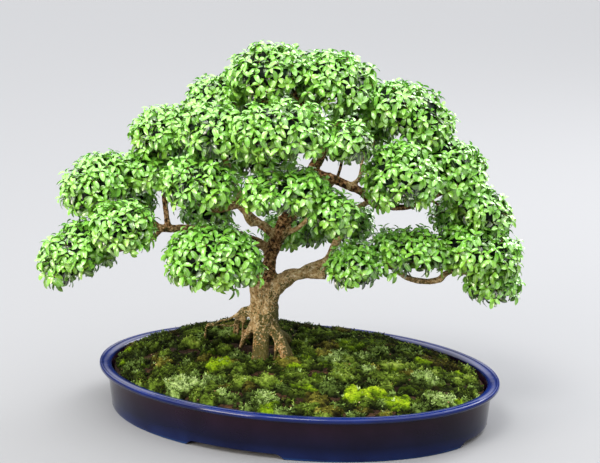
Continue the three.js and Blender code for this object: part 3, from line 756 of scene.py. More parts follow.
def addChips():
    dice = np.random.default_rng(8)
    deselectAll()
    bpy.ops.mesh.primitive_ico_sphere_add(subdivisions=1, radius=1)
    model, faces = takeModel(startPiece("chipModel"))
    model = model * chipShape["flat"]
    count = chipShape["count"]
    angle, share = dice.uniform(0, 2 * math.pi, count), np.sqrt(dice.uniform(0.02, 0.96, count))
    x = share * np.cos(angle) * groundShape["halfLength"]
    y = share * np.sin(angle) * groundShape["halfWidth"]
    relief, _ = mossRelief(x, y, np.stack([x, y, np.zeros(count)], axis=1))
    z = moundHeight(x, y) - groundShape["soilDrop"] + np.maximum(relief, 0.4)
    size, spin = dice.uniform(*chipShape["size"], count), dice.uniform(0, 2 * math.pi, count)
    shaped = model[None] * size[:, None, None] * dice.uniform(0.8, 1.2, (count, len(model), 1))
    across, deep = turned(shaped[:, :, 0], shaped[:, :, 1], spin[:, None])
    points = np.stack([across + x[:, None], deep + y[:, None], shaped[:, :, 2] + z[:, None]], axis=2)
    chips = addCopies("soilChips", potPoints(points), faces)
    colours = np.array([hexColour(code)[:3] for code in chipShape["colours"]])
    picked = colours[dice.integers(0, len(colours), count)]
    paintColours(chips.data, "chipTint", np.repeat(picked, len(model), axis=0))
    material, tree, shader = newMaterial("pumice and bark chips")    # dry, rough crumbs
    tint = addNode(tree, "ShaderNodeAttribute", attribute_name="chipTint").outputs["Color"]
    setInputs(tree, shader, {"Base Color": tint, "Roughness": 0.9})
    finishPiece(chips, [material], "soil", smooth=False)


addSoil()
addMoss()
addChips()


# The wood: centre lines as [across, depth, up, radius] in millimetres.

trunkLine = [
    [-38, 3, 96, 13], [-38, 1, 111, 17], [-38, 0, 134, 16.9], [-37, 0, 153, 17.2], [-34, 0, 165, 13],
    [-34, 0, 175, 9.6], [-32, -1, 184, 8.4], [-30, -2, 194, 8.6], [-26, -3, 204, 8.6], [-22, -4, 214, 8.6],
    [-17, -5, 223, 8.8], [-13, -6, 237, 8.8], [-9, -6, 248, 8.6], [-1, -6, 261, 8.4], [8, -5, 275, 8],
    [19, 0, 296, 7.2], [29, 0, 314, 6.5], [32, 0, 332, 6], [27, 0, 352, 5.5], [14, 0, 371, 4.5],
    [-8, 0, 392, 3.5],
]
limbLines = {
    "rightStub": [[-28, 0, 153, 11], [-15, -3, 162, 10.4], [-5, -6, 169, 8.8], [6, -8, 172, 7],
                  [19, -10, 173, 6], [36, -13, 172, 6]],
    "rightRise": [[4, -9, 175, 3.5], [14, -7, 181, 3.2], [26, -5, 185, 3.2], [36, -2, 189, 3.4],
                  [41, 1, 195, 3.8], [45, 6, 201, 4.4], [50, 12, 211, 4.8], [54, 22, 221, 4.4],
                  [60, 38, 233, 4], [90, 60, 246, 3.6], [126, 74, 262, 3]],
    "stubRise": [[30, -12, 175, 3.6], [36, -8, 184, 3.6], [41, -1, 195, 3.6]],
    "rightDroop": [[11, -9, 172, 5.6], [40, -6, 180, 5], [76, -5, 186, 4.8], [106, -5, 184, 4.4],
                   [124, -8, 173, 3.8], [132, -10, 168, 3.6], [142, -11, 165, 3.6], [154, -12, 164, 3.6],
                   [164, -12, 165, 3.9], [171, -12, 167, 4.1], [175, -12, 172, 3.8], [184, -11, 176, 3.3],
                   [193, -10, 174, 3.2], [209, -6, 174, 3]],
    "rightHigh": [[16, 0, 292, 6], [42, -5, 287, 5.6], [59, -10, 280, 5.4], [76, -15, 273, 4.8],
                  [92, -20, 259, 4.4], [115, -24, 256, 4], [138, -22, 258, 3.6], [170, -10, 270, 3]],
    "rightUp": [[63, -12, 279, 3.4], [73, -11, 286, 3], [77, -10, 298, 2.8], [78, -8, 311, 2.4],
                [92, -4, 330, 2]],
    "frontRight": [[-14, -5, 220, 4], [-6, -8, 224, 3.4], [3, -16, 230, 3], [12, -28, 241, 2.8],
                   [20, -42, 252, 2.6], [28, -58, 263, 2.4]],
    "leftHigh": [[-23, -2, 217, 4], [-29, -3, 223, 3.8], [-36, -5, 231, 3.4], [-44, -7, 234, 3.6],
                 [-51, -9, 233, 4.4], [-55, -10, 240, 5.2], [-58, -12, 253, 5.4], [-64, -14, 263, 5.2],
                 [-73, -20, 286, 4.8], [-81, -25, 312, 4.2], [-89, -32, 338, 3.4]],
    "leftInner": [[-63, -13, 258, 4], [-90, -25, 253, 3.6], [-112, -40, 264, 3]],
    "leftLow": [[-28, 0, 196, 6], [-45, 0, 209, 5.8], [-66, 0, 216, 5.6], [-98, 0, 221, 5.4],
                [-128, -5, 226, 5], [-159, -10, 228, 4.8], [-171, -10, 236, 4.4], [-200, -5, 248, 3.8],
                [-224, 0, 262, 3]],
    "leftDrop": [[-157, -10, 228, 4], [-172, -18, 216, 3.6], [-205, -20, 205, 3.2], [-236, -20, 200, 2.6]],
    "leftRise": [[-150, -8, 228, 3.8], [-154, 4, 252, 3.4], [-158, 18, 290, 3], [-160, 24, 322, 2.6]],
    "backRight": [[-13, -3, 230, 5], [5, 35, 240, 4.6], [28, 72, 252, 4.2], [50, 100, 264, 3.2]],
    "backLeft": [[-21, -2, 214, 5], [-45, 30, 226, 4.6], [-75, 62, 244, 4.2], [-112, 84, 276, 3.2]],
    "topLeft": [[18, 0, 366, 4.2], [-20, 8, 374, 3.6], [-60, 22, 379, 3], [-86, 32, 383, 2.6]],
    "topRight": [[30, 0, 342, 5], [60, -4, 351, 4.6], [95, -3, 356, 4], [122, 0, 360, 3]],
}
rootLines = [
    [[-40, 0, 138, 7], [-54, 2, 127, 4.6], [-63, 6, 124, 3.6], [-69, 10, 118, 2.8], [-75, 16, 113, 1.9],
     [-82, 22, 108, 1.9], [-91, 30, 104, 1.7], [-98, 36, 99, 1.7], [-105, 40, 97, 1.6],
     [-109, 42, 93, 1.6], [-112, 44, 60, 1.6]],
    [[-62, 5, 122, 3], [-69, 14, 115, 2.7], [-72, 28, 104, 2.4], [-74, 42, 93, 1.9],
     [-78, 64, 62, 1.5]],
    [[-61, 4, 121, 2.6], [-66, 16, 111, 2], [-69, 32, 99, 1.7], [-72, 64, 62, 1.5]],
    [[-52, 0, 124, 5], [-59, 4, 119, 3.8], [-62, 12, 110, 2.8], [-64, 26, 96, 1.8], [-66, 48, 62, 1.5]],
    [[-74, 38, 96, 1.5], [-83, 38, 95, 1.4], [-87, 36, 97, 1.4], [-106, 40, 95, 1.4]],
    [[-46, -3, 113, 6], [-53, 1, 103, 4.2], [-58, 6, 94, 3.5], [-63, 12, 85, 3.1], [-71, 22, 60, 2.4]],
    [[-43, -4, 113, 9], [-44, -11, 99, 7], [-45, -18, 86, 6.3], [-47, -26, 74, 5.8], [-50, -34, 52, 5]],
    [[-36, -5, 113, 9], [-38, -12, 99, 6.8], [-38, -18, 87, 6.4], [-38, -27, 73, 6], [-38, -34, 52, 5]],
    [[-32, -10, 104, 3], [-28, -16, 100, 2.4], [-24, -20, 93, 2.1], [-24, -24, 84, 2],
     [-27, -31, 56, 1.9]],
    [[-31, -3, 114, 8], [-22, -10, 100, 6.4], [-17, -17, 90, 6.4], [-14, -23, 82, 6.2],
     [-10, -36, 52, 4]],
    [[-20, -11, 96, 5], [-12, -16, 87, 3.8], [-6, -20, 77, 3], [0, -28, 56, 2.2]],
    [[-31, 7, 110, 9], [-24, 20, 94, 7], [-12, 34, 80, 5.6], [2, 50, 54, 4]],
    [[-45, 7, 110, 9], [-54, 22, 94, 6.2], [-60, 38, 80, 5], [-68, 56, 54, 4]],
]

# Pads of foliage: [middle], [half sizes over the leaves] and tilt about the depth axis.
pads = {
    "left_low": ([-255, -20, 201], [55, 44, 41], 30),
    "left_low_front": ([-198, -60, 239], [43, 42, 37], 0),
    "left_middle": ([-232, 5, 277], [50, 50, 41], 26),
    "left_middle_inner": ([-178, 20, 291], [40, 44, 30], 0),
    "left_upper": ([-158, 25, 335], [44, 48, 37], 16),
    "left_front_upper": ([-93, -45, 350], [46, 44, 38], 0),
    "top_left": ([-94, 38, 375], [46, 46, 32], 25),
    "apex": ([-30, 0, 409], [54, 56, 41], 5),
    "apex_right": ([47, 5, 398], [56, 56, 42], -16),
    "top_front": ([-17, -85, 356], [62, 44, 40], 0),
    "front_right_upper": ([61, -88, 346], [31, 34, 27], 0),
    "right_upper": ([132, 0, 361], [59, 55, 41], -27),
    "right_middle": ([120, -58, 297], [49, 44, 47], 0),
    "right_outer": ([180, -2, 298], [51, 52, 43], -32),
    "right_outer_low": ([214, 0, 253], [49, 50, 31], -30),
    "right_low": ([214, -14, 203], [57, 50, 38], -12),
    "right_tip": ([231, -4, 162], [38, 40, 31], 0),
    "right_low_inner": ([132, -32, 206], [52, 42, 33], 0),
    "right_low_front": ([68, -52, 193], [36, 38, 33], 0),
    "centre_front": ([-12, -84, 288], [58, 40, 32], 0),
    "centre_front_low": ([43, -80, 262], [36, 36, 31], -20),
    "left_centre": ([-110, -60, 292], [50, 44, 36], 0),
    "left_low_centre": ([-94, -60, 203], [61, 50, 47], 0),
    "back_centre": ([-2, 102, 202], [46, 42, 27], 0),
    "back_right_low": ([64, 96, 210], [38, 40, 26], 0),
    "back_left_low": ([-108, 88, 226], [36, 42, 27], 0),
    "back_upper": ([-24, 88, 358], [60, 44, 35], 0),
    "back_upper_right": ([80, 76, 338], [50, 44, 34], 0),
    "back_left": ([-132, 98, 292], [50, 44, 32], 0),
    "back_middle": ([-46, 124, 290], [52, 42, 34], 0),
    "back_right": ([60, 122, 309], [48, 42, 32], 0),
    "back_right_outer": ([148, 82, 286], [48, 46, 34], -12),
    "back_right_tip": ([204, 80, 222], [45, 44, 30], -10),
    "back_left_outer": ([-208, 78, 240], [44, 42, 28], 10),
}

woodShape = {
    "step": 3.5, "sides": 3, "voxel": 1.6, "smoothing": 3, "twigRadius": 2.6,
    "ridge": 0.1, "knots": 0.15,    # shares of the limb's own radius
    "flakes": 1.1,                  # millimetres on a thick limb
    "stubHollow": 4.2, "stubDepth": 5.0,    # the dead heart in the sawn end of the right stub
    # the trunk's own bark roughens above the first fork: heights, and how flaky it is there
    "trunkUp": [60, 150, 172, 400], "trunkFlaky": [0.0, 0.05, 0.85, 0.85],
    "twigFlaky": 0.75, "twigBelow": 4, "rootAlgae": 0.5,
}
# How flaky a limb's bark is: 0 is smooth and tan, 1 is rough and brown.
limbFlaky = {
    "rightStub": 0.02, "rightRise": 0.1, "stubRise": 0.1, "rightDroop": 0.15, "rightHigh": 0.75,
    "rightUp": 0.2, "frontRight": 0.0, "leftHigh": 0.05, "leftInner": 0.4, "leftLow": 0.45,
    "leftDrop": 0.5, "leftRise": 0.6, "backRight": 0.5, "backLeft": 0.5, "topLeft": 0.8, "topRight": 0.8,
}


# A thin branch for each pad, from the nearest point of the limbs to below the pad's middle.
def twigLines():
    nodes = [point for line in (trunkLine[9:], *limbLines.values()) for point in line]
    lines = {}
    for name, ((across, depth, up), *_) in pads.items():
        top = up - woodShape["twigBelow"]
        root = min(nodes, key=lambda p: math.hypot(p[0] - across, p[1] - depth, 1.5 * (p[2] - top)))
        radius = min(woodShape["twigRadius"], 0.7 * root[3])
        lines[name] = [
            [*root[:3], radius],
            [(root[0] + across) / 2, (root[1] + depth) / 2, root[2] + 0.4 * (top - root[2]) - 2, radius],
            [across, depth, top, radius * 0.8],
        ]
    return lines


# Round tubes along lines of [across, depth, up, radius]. sides is Blender's bevel resolution.
def growTube(name, lines, sides):
    deselectAll()
    bpy.ops.curve.primitive_nurbs_path_add()
    tube = startPiece(name)
    curve = tube.data
    curve.splines.clear()
    for rows in lines:
        spline = curve.splines.new("POLY")
        spline.points.add(len(rows) - 1)
        places = treePoints(rows)
        for point, place, row in zip(spline.points, places, rows):
            point.co = (*place, 1)
            point.radius = row[3] * mm
    curve.dimensions = "3D"
    curve.bevel_depth = 1
    curve.bevel_resolution = sides
    curve.use_fill_caps = True
    bpy.ops.object.convert(target="MESH")
    return startPiece(name)


# Bark: pale tan and fairly smooth low down and on the old limbs, flaking brown higher up, orange-brown
# on the roots, reddish on twigs, with specks of olive algae on the lower trunk, thicker on its right side
# away from the lights, where they are painted shade as well as algae.
def barkMaterial():
    material, tree, shader = newMaterial("living bark")
    place = addNode(tree, "ShaderNodeTexCoord").outputs["Object"]
    rough = addNode(tree, "ShaderNodeAttribute", attribute_name="barkAge").outputs["Fac"]
    hollow = addNode(tree, "ShaderNodeAttribute", attribute_name="barkHollow").outputs["Fac"]
    height = addNode(tree, "ShaderNodeSeparateXYZ", {"Vector": place}).outputs["Z"]
    plates = addNode(tree, "ShaderNodeTexVoronoi", {"Vector": place, "Scale": 360.0})
    grain = addNode(tree, "ShaderNodeTexNoise", {
        "Vector": place, "Scale": 280.0, "Detail": 5.0, "Roughness": 0.65})
    patch = addNode(tree, "ShaderNodeTexNoise", {"Vector": place, "Scale": 60.0, "Detail": 4.0})
    tan = addNode(tree, "ShaderNodeValToRGB", {"Fac": grain}, stops=[
        (0.3, "#6f5431"), (0.42, "#a08051"), (0.54, "#c6aa7a"), (0.68, "#ecdcb8")])
    brown = addNode(tree, "ShaderNodeValToRGB", {"Fac": grain}, stops=[
        (0.38, "#160e07"), (0.45, "#4c321b"), (0.53, "#936a40"), (0.64, "#cfa87b")])
    age = addNode(tree, "ShaderNodeMath", {0: patch, 1: 0.9, 2: rough}, operation="MULTIPLY_ADD")
    ageStep = addNode(tree, "ShaderNodeMapRange", {"Value": age, "From Min": 0.55, "From Max": 1.05})
    wood = addNode(tree, "ShaderNodeMixRGB", {"Fac": ageStep, "Color1": tan, "Color2": brown})
    rooted = addNode(tree, "ShaderNodeMapRange", {
        "Value": height, "From Min": 0.106, "From Max": 0.08, "To Max": 0.95})
    rust = addNode(tree, "ShaderNodeMath", {0: patch, 1: rooted}, operation="MULTIPLY")
    earthy = addNode(tree, "ShaderNodeMixRGB", {
        "Fac": rust, "Color1": wood, "Color2": hexColour("#8f5524")})
    specks = addNode(tree, "ShaderNodeTexNoise", {"Vector": place, "Scale": 520.0, "Detail": 2.0})
    blotch = addNode(tree, "ShaderNodeMapRange", {
        "Value": patch, "From Min": 0.4, "From Max": 0.62, "To Min": -0.1, "To Max": 0.09})
    low = addNode(tree, "ShaderNodeMapRange", {
        "Value": height, "From Min": 0.2, "From Max": 0.078, "To Min": -0.12, "To Max": 0.08})
    drawn = addNode(tree, "ShaderNodeMath", {0: blotch, 1: low}, operation="ADD")
    # more olive algae on the side away from the lights and on the roots: real algae, and painted shade on
    # that side
    damp = addNode(tree, "ShaderNodeAttribute", attribute_name="barkDamp").outputs["Fac"]
    settled = addNode(tree, "ShaderNodeMath", {0: damp, 1: 0.16, 2: drawn}, operation="MULTIPLY_ADD")
    algae = addNode(tree, "ShaderNodeMath", {0: specks, 1: settled}, operation="ADD")
    algaeStep = addNode(tree, "ShaderNodeMapRange", {
        "Value": algae, "From Min": 0.5, "From Max": 0.56, "To Max": 0.85})
    green = addNode(tree, "ShaderNodeMixRGB", {
        "Fac": algaeStep, "Color1": earthy, "Color2": hexColour("#394216")})
    # the pit in the stub's sawn end is painted near-black: painted shade in the hollow
    holed = addNode(tree, "ShaderNodeMixRGB", {
        "Fac": hollow, "Color1": green, "Color2": hexColour("#1a0f08")})
    cracks = addNode(tree, "ShaderNodeMath", {0: plates, 1: 0.7, 2: grain}, operation="MULTIPLY_ADD")
    bump = addNode(tree, "ShaderNodeBump", {"Height": cracks, "Strength": 1.0, "Distance": 0.0022})
    setInputs(tree, shader, {
        "Base Color": holed, "Roughness": 0.8, "Specular IOR Level": 0.2, "Normal": bump})
    return material


# All wood, as smooth lines with how flaky the bark is, and whether it is a root.
def woodParts():
    lines = [(trunkLine, 0, False)]
    lines += [(line, limbFlaky[name], False) for name, line in limbLines.items()]
    lines += [(line, 0, True) for line in rootLines]
    lines += [(line, woodShape["twigFlaky"], False) for line in twigLines().values()]
    return [(smoothLine(line, woodShape["step"]), flaky, root) for line, flaky, root in lines]


# How far the bark stands out at a place, in millimetres: ridges along the wood, knots and flakes.
def barkRelief(place, radius, flaky):
    ridge = noise.fractal(Vector((place.x / 7, place.y / 7, place.z / 19)), 0.8, 2.1, 3)
    shift = radius * (woodShape["ridge"] * ridge + woodShape["knots"] * noise.noise(place / 15))
    return shift + woodShape["flakes"] * flaky * min(radius, 8) / 8 * noise.noise(place / 3.0)


def addTree():
    parts = woodParts()
    tubes = [growTube("limb", [rows], woodShape["sides"]) for rows, flaky, root in parts]
    wood = joinPieces(tubes, "barkedTree")
    bakeModifier(wood, "REMESH", mode="VOXEL", voxel_size=woodShape["voxel"] * mm)
    bakeModifier(wood, "SMOOTH", factor=0.5, iterations=woodShape["smoothing"])
    samples = np.concatenate([rows for rows, flaky, root in parts])
    flaky = np.concatenate([np.full(len(rows), float(flaky)) for rows, flaky, root in parts])
    rooted = np.concatenate([np.full(len(rows), float(root)) for rows, flaky, root in parts])
    trunk = slice(0, len(parts[0][0]))
    flaky[trunk] = np.interp(samples[trunk, 2], woodShape["trunkUp"], woodShape["trunkFlaky"])
    finder = kdtree.KDTree(len(samples))
    for i, place in enumerate(treePoints(samples)):
        finder.insert(place, i)
    finder.balance()
    points = readPoints(wood.data)
    normals = np.array([vertex.normal for vertex in wood.data.vertices])
    nearest = np.array([finder.find(point)[1] for point in points])
    shifts = np.array([barkRelief(Vector(point) / mm, samples[i][3], flaky[i])
                       for point, i in zip(points, nearest)])
    stubEnd = treePoints(limbLines["rightStub"][-1])
    stubAxis = stubEnd - treePoints(limbLines["rightStub"][-2])
    stubAxis /= np.linalg.norm(stubAxis)
    along = (points - stubEnd) @ stubAxis
    aside = np.linalg.norm(points - stubEnd - along[:, None] * stubAxis, axis=1)
    share = 1 - (aside / (woodShape["stubHollow"] * mm)) ** 2
    share = np.where((share > 0) & (along > -0.004), share, 0)
    hollow = stubAxis * (woodShape["stubDepth"] * mm * share)[:, None]
    writePoints(wood.data, points + normals * (shifts * mm)[:, None] - hollow)
    paintPoints(wood.data, "barkAge", flaky[nearest])
    # the pit's darkness, painted shade in the hollow
    paintPoints(wood.data, "barkHollow", 0.9 * share)
    shadeWay = np.array([math.cos(treeTurn), math.sin(treeTurn), 0])    # the right side, away from the lights: more algae there, both real algae and painted shade
    damp = np.clip(normals @ shadeWay, -1, 1) + woodShape["rootAlgae"] * rooted[nearest]
    paintPoints(wood.data, "barkDamp", damp)
    finishPiece(wood, [barkMaterial()], "bark", "tree")


addTree()


# The foliage.

leafShape = {
    # each row as [share of the length, share of the width]
    "rows": [[0.0, 0.1], [0.18, 0.6], [0.46, 1.0], [0.78, 0.98], [1.0, 0.64]],
    "width": 0.55, "fold": 0.12, "lift": 0.3, "arch": 0.85, "blunt": 0.07,
    "length": [7.2, 11.3],
}
shootShape = {
    "clumpRadius": [9, 18], "clumpArea": 950, "leafReach": 6,
    "squareness": 2.4,    # 2 makes round pads, more makes them fuller at the shoulders
    "upturn": [0.5, 1.8], "goldenTurn": 2.4, "droop": 0.25, "roll": 0.28,
    "stem": 3.4, "stemStart": -2.0, "stemRadius": 0.6,
    # shoots on each clump: area for a shoot, share of the clump's radius, leaves, and age
    "outer": {"area": 208, "radius": [0.8, 1.2], "leaves": [6, 8], "rise": [-0.45, 0.9], "age": 0.16},
    # shoots that fill the creases between clumps: the same, with the share of the pad's half size; their
    # greater age darkens them, as old leaves and as painted shade
    "filler": {"area": 165, "share": [0.62, 0.82], "leaves": [5, 6], "rise": [-0.4, 0.8], "age": 0.56,
               "clear": 0.8},
}
# A leaf's age runs from 0, fresh and light, to 1, old and dark; it also carries painted light on shoots
# that face up and painted shade on shoots deep in the creases. Its warmth runs from bluish to yellowish,
# at random and as a painted glow of light through the leaves of shoots that hang down.
leafTone = {
    "upFacingLight": 0.12, "lowAge": 0.3, "ageSpread": 0.06,
    "creaseShade": 1.1, "creaseFrom": 0.84, "creaseMost": 0.4,
    "warmthAndGlow": 0.25, "hangingGlow": 0.6, "shootSpread": 0.16, "leafSpread": 0.1,
}
heartShape = {"room": 8, "lumps": 0.22, "lumpSize": 2.6, "flatBelow": 0.55}
# Twigs inside a pad: their radii from the branch outwards, how far they sag, and which shoots have one.
twigShape = {
    "start": 1.7, "knee": 1.3, "clump": 0.9, "fork": 0.8, "tip": 0.5, "sag": 4, "step": 8, "every": 3,
}


def modelLeaf():
    deselectAll()
    rows = leafShape["rows"]
    bpy.ops.mesh.primitive_grid_add(x_subdivisions=2, y_subdivisions=len(rows) - 1, size=1)
    leaf = startPiece("leafModel")
    layer = leaf.data.uv_layers.active.data
    uv = np.array([tuple(layer[i].uv) for face in leaf.data.polygons for i in face.loop_indices])
    points, faces = takeModel(leaf)
    order = np.round((points[:, 1] + 0.5) * (len(rows) - 1)).astype(int)
    along = np.array([row[0] for row in rows])[order]
    wide = np.array([row[1] for row in rows])[order]
    side = points[:, 0] * 2
    along = along - leafShape["blunt"] * np.abs(side) * (order == len(rows) - 1)
    rise = leafShape["lift"] * along - leafShape["arch"] * along ** 2
    shaped = np.stack([
        side * wide * leafShape["width"] / 2,
        along,
        leafShape["fold"] * np.abs(side) * wide + rise,
    ], axis=1)
    return shaped, faces, uv


# Leaves: a waxy young leaf is light yellow-green, an old one deeper and bluer, and each has a
# paler midrib and a satin shine. The age also carries painted light and shade, and the warm ramp a painted
# glow of light through hanging leaves.
def leafMaterial():
    material, tree, shader = newMaterial("waxy evergreen leaf")
    age = addNode(tree, "ShaderNodeAttribute", attribute_name="leafAge").outputs["Fac"]
    warmthAndGlow = addNode(tree, "ShaderNodeAttribute", attribute_name="leafWarmth").outputs["Fac"]
    uv = addNode(tree, "ShaderNodeUVMap", uv_map="leafUV").outputs["UV"]
    across = addNode(tree, "ShaderNodeSeparateXYZ", {"Vector": uv})
    cool = addNode(tree, "ShaderNodeValToRGB", {"Fac": age}, stops=[
        (0.0, "#80c844"), (0.2, "#7cc43f"), (0.42, "#74b636"), (0.64, "#569029"), (0.84, "#213f15"),
        (1.0, "#0e1d0c")])
    warm = addNode(tree, "ShaderNodeValToRGB", {"Fac": age}, stops=[
        (0.0, "#96c83b"), (0.22, "#8cbf35"), (0.46, "#7caa2b"), (0.7, "#587b1c"), (1.0, "#20300d")])
    tone = addNode(tree, "ShaderNodeMixRGB", {"Fac": warmthAndGlow, "Color1": cool, "Color2": warm})
    off = addNode(tree, "ShaderNodeMath", {0: across.outputs["X"], 1: 0.5}, operation="SUBTRACT")
    away = addNode(tree, "ShaderNodeMath", {0: off}, operation="ABSOLUTE")
    rib = addNode(tree, "ShaderNodeMapRange", {
        "Value": away, "From Min": 0.03, "From Max": 0.14, "To Min": 0.5, "To Max": 0.0})
    veined = addNode(tree, "ShaderNodeMixRGB", {
        "Fac": rib, "Color1": tone, "Color2": hexColour("#a9d66c")})
    stem = addNode(tree, "ShaderNodeMapRange", {
        "Value": across.outputs["Y"], "From Min": 0.02, "From Max": 0.14, "To Min": 0.8, "To Max": 0.0})
    stemmed = addNode(tree, "ShaderNodeMixRGB", {
        "Fac": stem, "Color1": veined, "Color2": hexColour("#9a6a3c")})
    setInputs(tree, shader, {
        "Base Color": stemmed, "Roughness": 0.4, "IOR": 1.5, "Specular IOR Level": 0.5,
        "Coat Weight": 1.0, "Coat Roughness": 0.2, "Coat IOR": 1.7})
    return material


# Twigs inside the crown: thin, reddish brown and matt.
def twigMaterial():
    material, tree, shader = newMaterial("young twig bark")
    place = addNode(tree, "ShaderNodeTexCoord").outputs["Object"]
    grain = addNode(tree, "ShaderNodeTexNoise", {"Vector": place, "Scale": 300.0, "Detail": 3.0})
    tone = addNode(tree, "ShaderNodeValToRGB", {"Fac": grain}, stops=[
        (0.35, "#4a2a1c"), (0.65, "#8a5f42")])
    setInputs(tree, shader, {"Base Color": tone, "Roughness": 0.8})
    return material


# The heart of a pad: a lumpy near-black ball that stands for the shade inside it, painted shade over old
# leaves packed so close that none can be told from the next.
def heartMaterial():
    material, tree, shader = newMaterial("pad heart in painted shade")
    place = addNode(tree, "ShaderNodeTexCoord").outputs["Object"]
    cells = addNode(tree, "ShaderNodeTexVoronoi", {"Vector": place, "Scale": 130.0})
    tint = addNode(tree, "ShaderNodeSeparateColor", {"Color": cells.outputs["Color"]})
    tone = addNode(tree, "ShaderNodeValToRGB", {"Fac": tint.outputs["Red"]}, stops=[
        (0.0, "#060d07"), (0.6, "#0c1c0f"), (1.0, "#153019")])
    bump = addNode(tree, "ShaderNodeBump", {"Height": cells, "Strength": 1.0, "Distance": 0.004})
    setInputs(tree, shader, {
        "Base Color": tone, "Roughness": 0.8, "Specular IOR Level": 0.2, "Normal": bump})
    return material


# Directions spread evenly over a sphere by the golden angle.
def spread(count, start):
    golden = math.pi * (3 - math.sqrt(5))
    i = np.arange(count)
    up = 1 - (2 * i + 1) / count
    around = np.sqrt(1 - up ** 2)
    turn = golden * i + start
    return np.stack([around * np.cos(turn), around * np.sin(turn), up], axis=1)


def tilted(points, tilt):
    x, z = turned(points[:, 0], points[:, 2], math.radians(tilt))
    return np.stack([x, points[:, 1], z], axis=1)


def padArea(half):
    return 4 / 3 * math.pi * (half[0] * half[1] + half[0] * half[2] + half[1] * half[2])


# Directions stretched so that they end on the pad's squarish round form, for a half size of 1.
def onForm(directions):
    square = shootShape["squareness"]
    return directions / (np.abs(directions) ** square).sum(axis=1, keepdims=True) ** (1 / square)


# Small round clumps that make up a pad: their middles in the tree's directions, and their radii.
def padClumps(middle, half, tilt, dice):
    count = max(8, round(padArea(half) / shootShape["clumpArea"]))
    directions = unit(spread(count, dice.uniform(0, 6.28)) + dice.normal(0, 0.08, (count, 3)))
    directions = onForm(directions[directions[:, 2] > -0.72])    # none under the pad
    radius = dice.uniform(*shootShape["clumpRadius"], len(directions))
    room = np.array(half)[None, :] - (radius + shootShape["leafReach"])[:, None]
    centres = directions * np.maximum(room, 1) * dice.uniform(0.92, 1.04, (len(directions), 1))
    return tilted(centres, tilt) + np.array(middle), radius


# Shoot tips on the clumps, as places and directions. Those buried in the next clump are left out.
def padShoots(centres, radii, middle, dice):
    layer = shootShape["outer"]
    places, ways = [], []
    for i, (centre, radius) in enumerate(zip(centres, radii)):
        count = max(4, round(4 * math.pi * radius ** 2 / layer["area"]))
        way = unit(spread(count, dice.uniform(0, 6.28)) + dice.normal(0, 0.16, (count, 3)))
        spots = centre + way * radius * dice.uniform(*layer["radius"], (count, 1))
        gaps = np.linalg.norm(spots[:, None, :] - centres[None], axis=2) / radii[None]
        gaps[:, i] = 9    # its own clump doesn't bury it
        free = (gaps.min(axis=1) > layer["radius"][0] - 0.06) & (way[:, 2] > -0.8)
        free &= ((spots - np.array(middle)) * way).sum(axis=1) > -2
        places.append(spots[free])
        ways.append(way[free])
    return np.concatenate(places), np.concatenate(ways)


# Shoot tips that fill the creases, spread evenly over the pad. Those inside a clump are left out.
def padFiller(centres, radii, middle, half, tilt, dice):
    layer = shootShape["filler"]
    count = round(padArea(half) / layer["area"])
    way = spread(count, dice.uniform(0, 6.28)) + dice.normal(0, 0.05, (count, 3))
    way = unit(way[way[:, 2] > -0.6])
    room = np.array(half) - shootShape["leafReach"]
    spots = onForm(way) * room * dice.uniform(*layer["share"], (len(way), 1))
    spots = tilted(spots, tilt) + np.array(middle)
    facing = unit(tilted(way / half, tilt))
    gaps = (np.linalg.norm(spots[:, None, :] - centres[None], axis=2) / radii[None]).min(axis=1)
    return spots[gaps > layer["clear"]], facing[gaps > layer["clear"]]


# How deep each shoot lies in the creases between clumps, as a share of the pad's size.
def buriedShare(places, middle, half, tilt):
    level = tilted(places - np.array(middle), -tilt)
    square = shootShape["squareness"]
    share = (np.abs(level / half) ** square).sum(axis=1) ** (1 / square)
    return np.clip(leafTone["creaseFrom"] - share, 0, leafTone["creaseMost"])


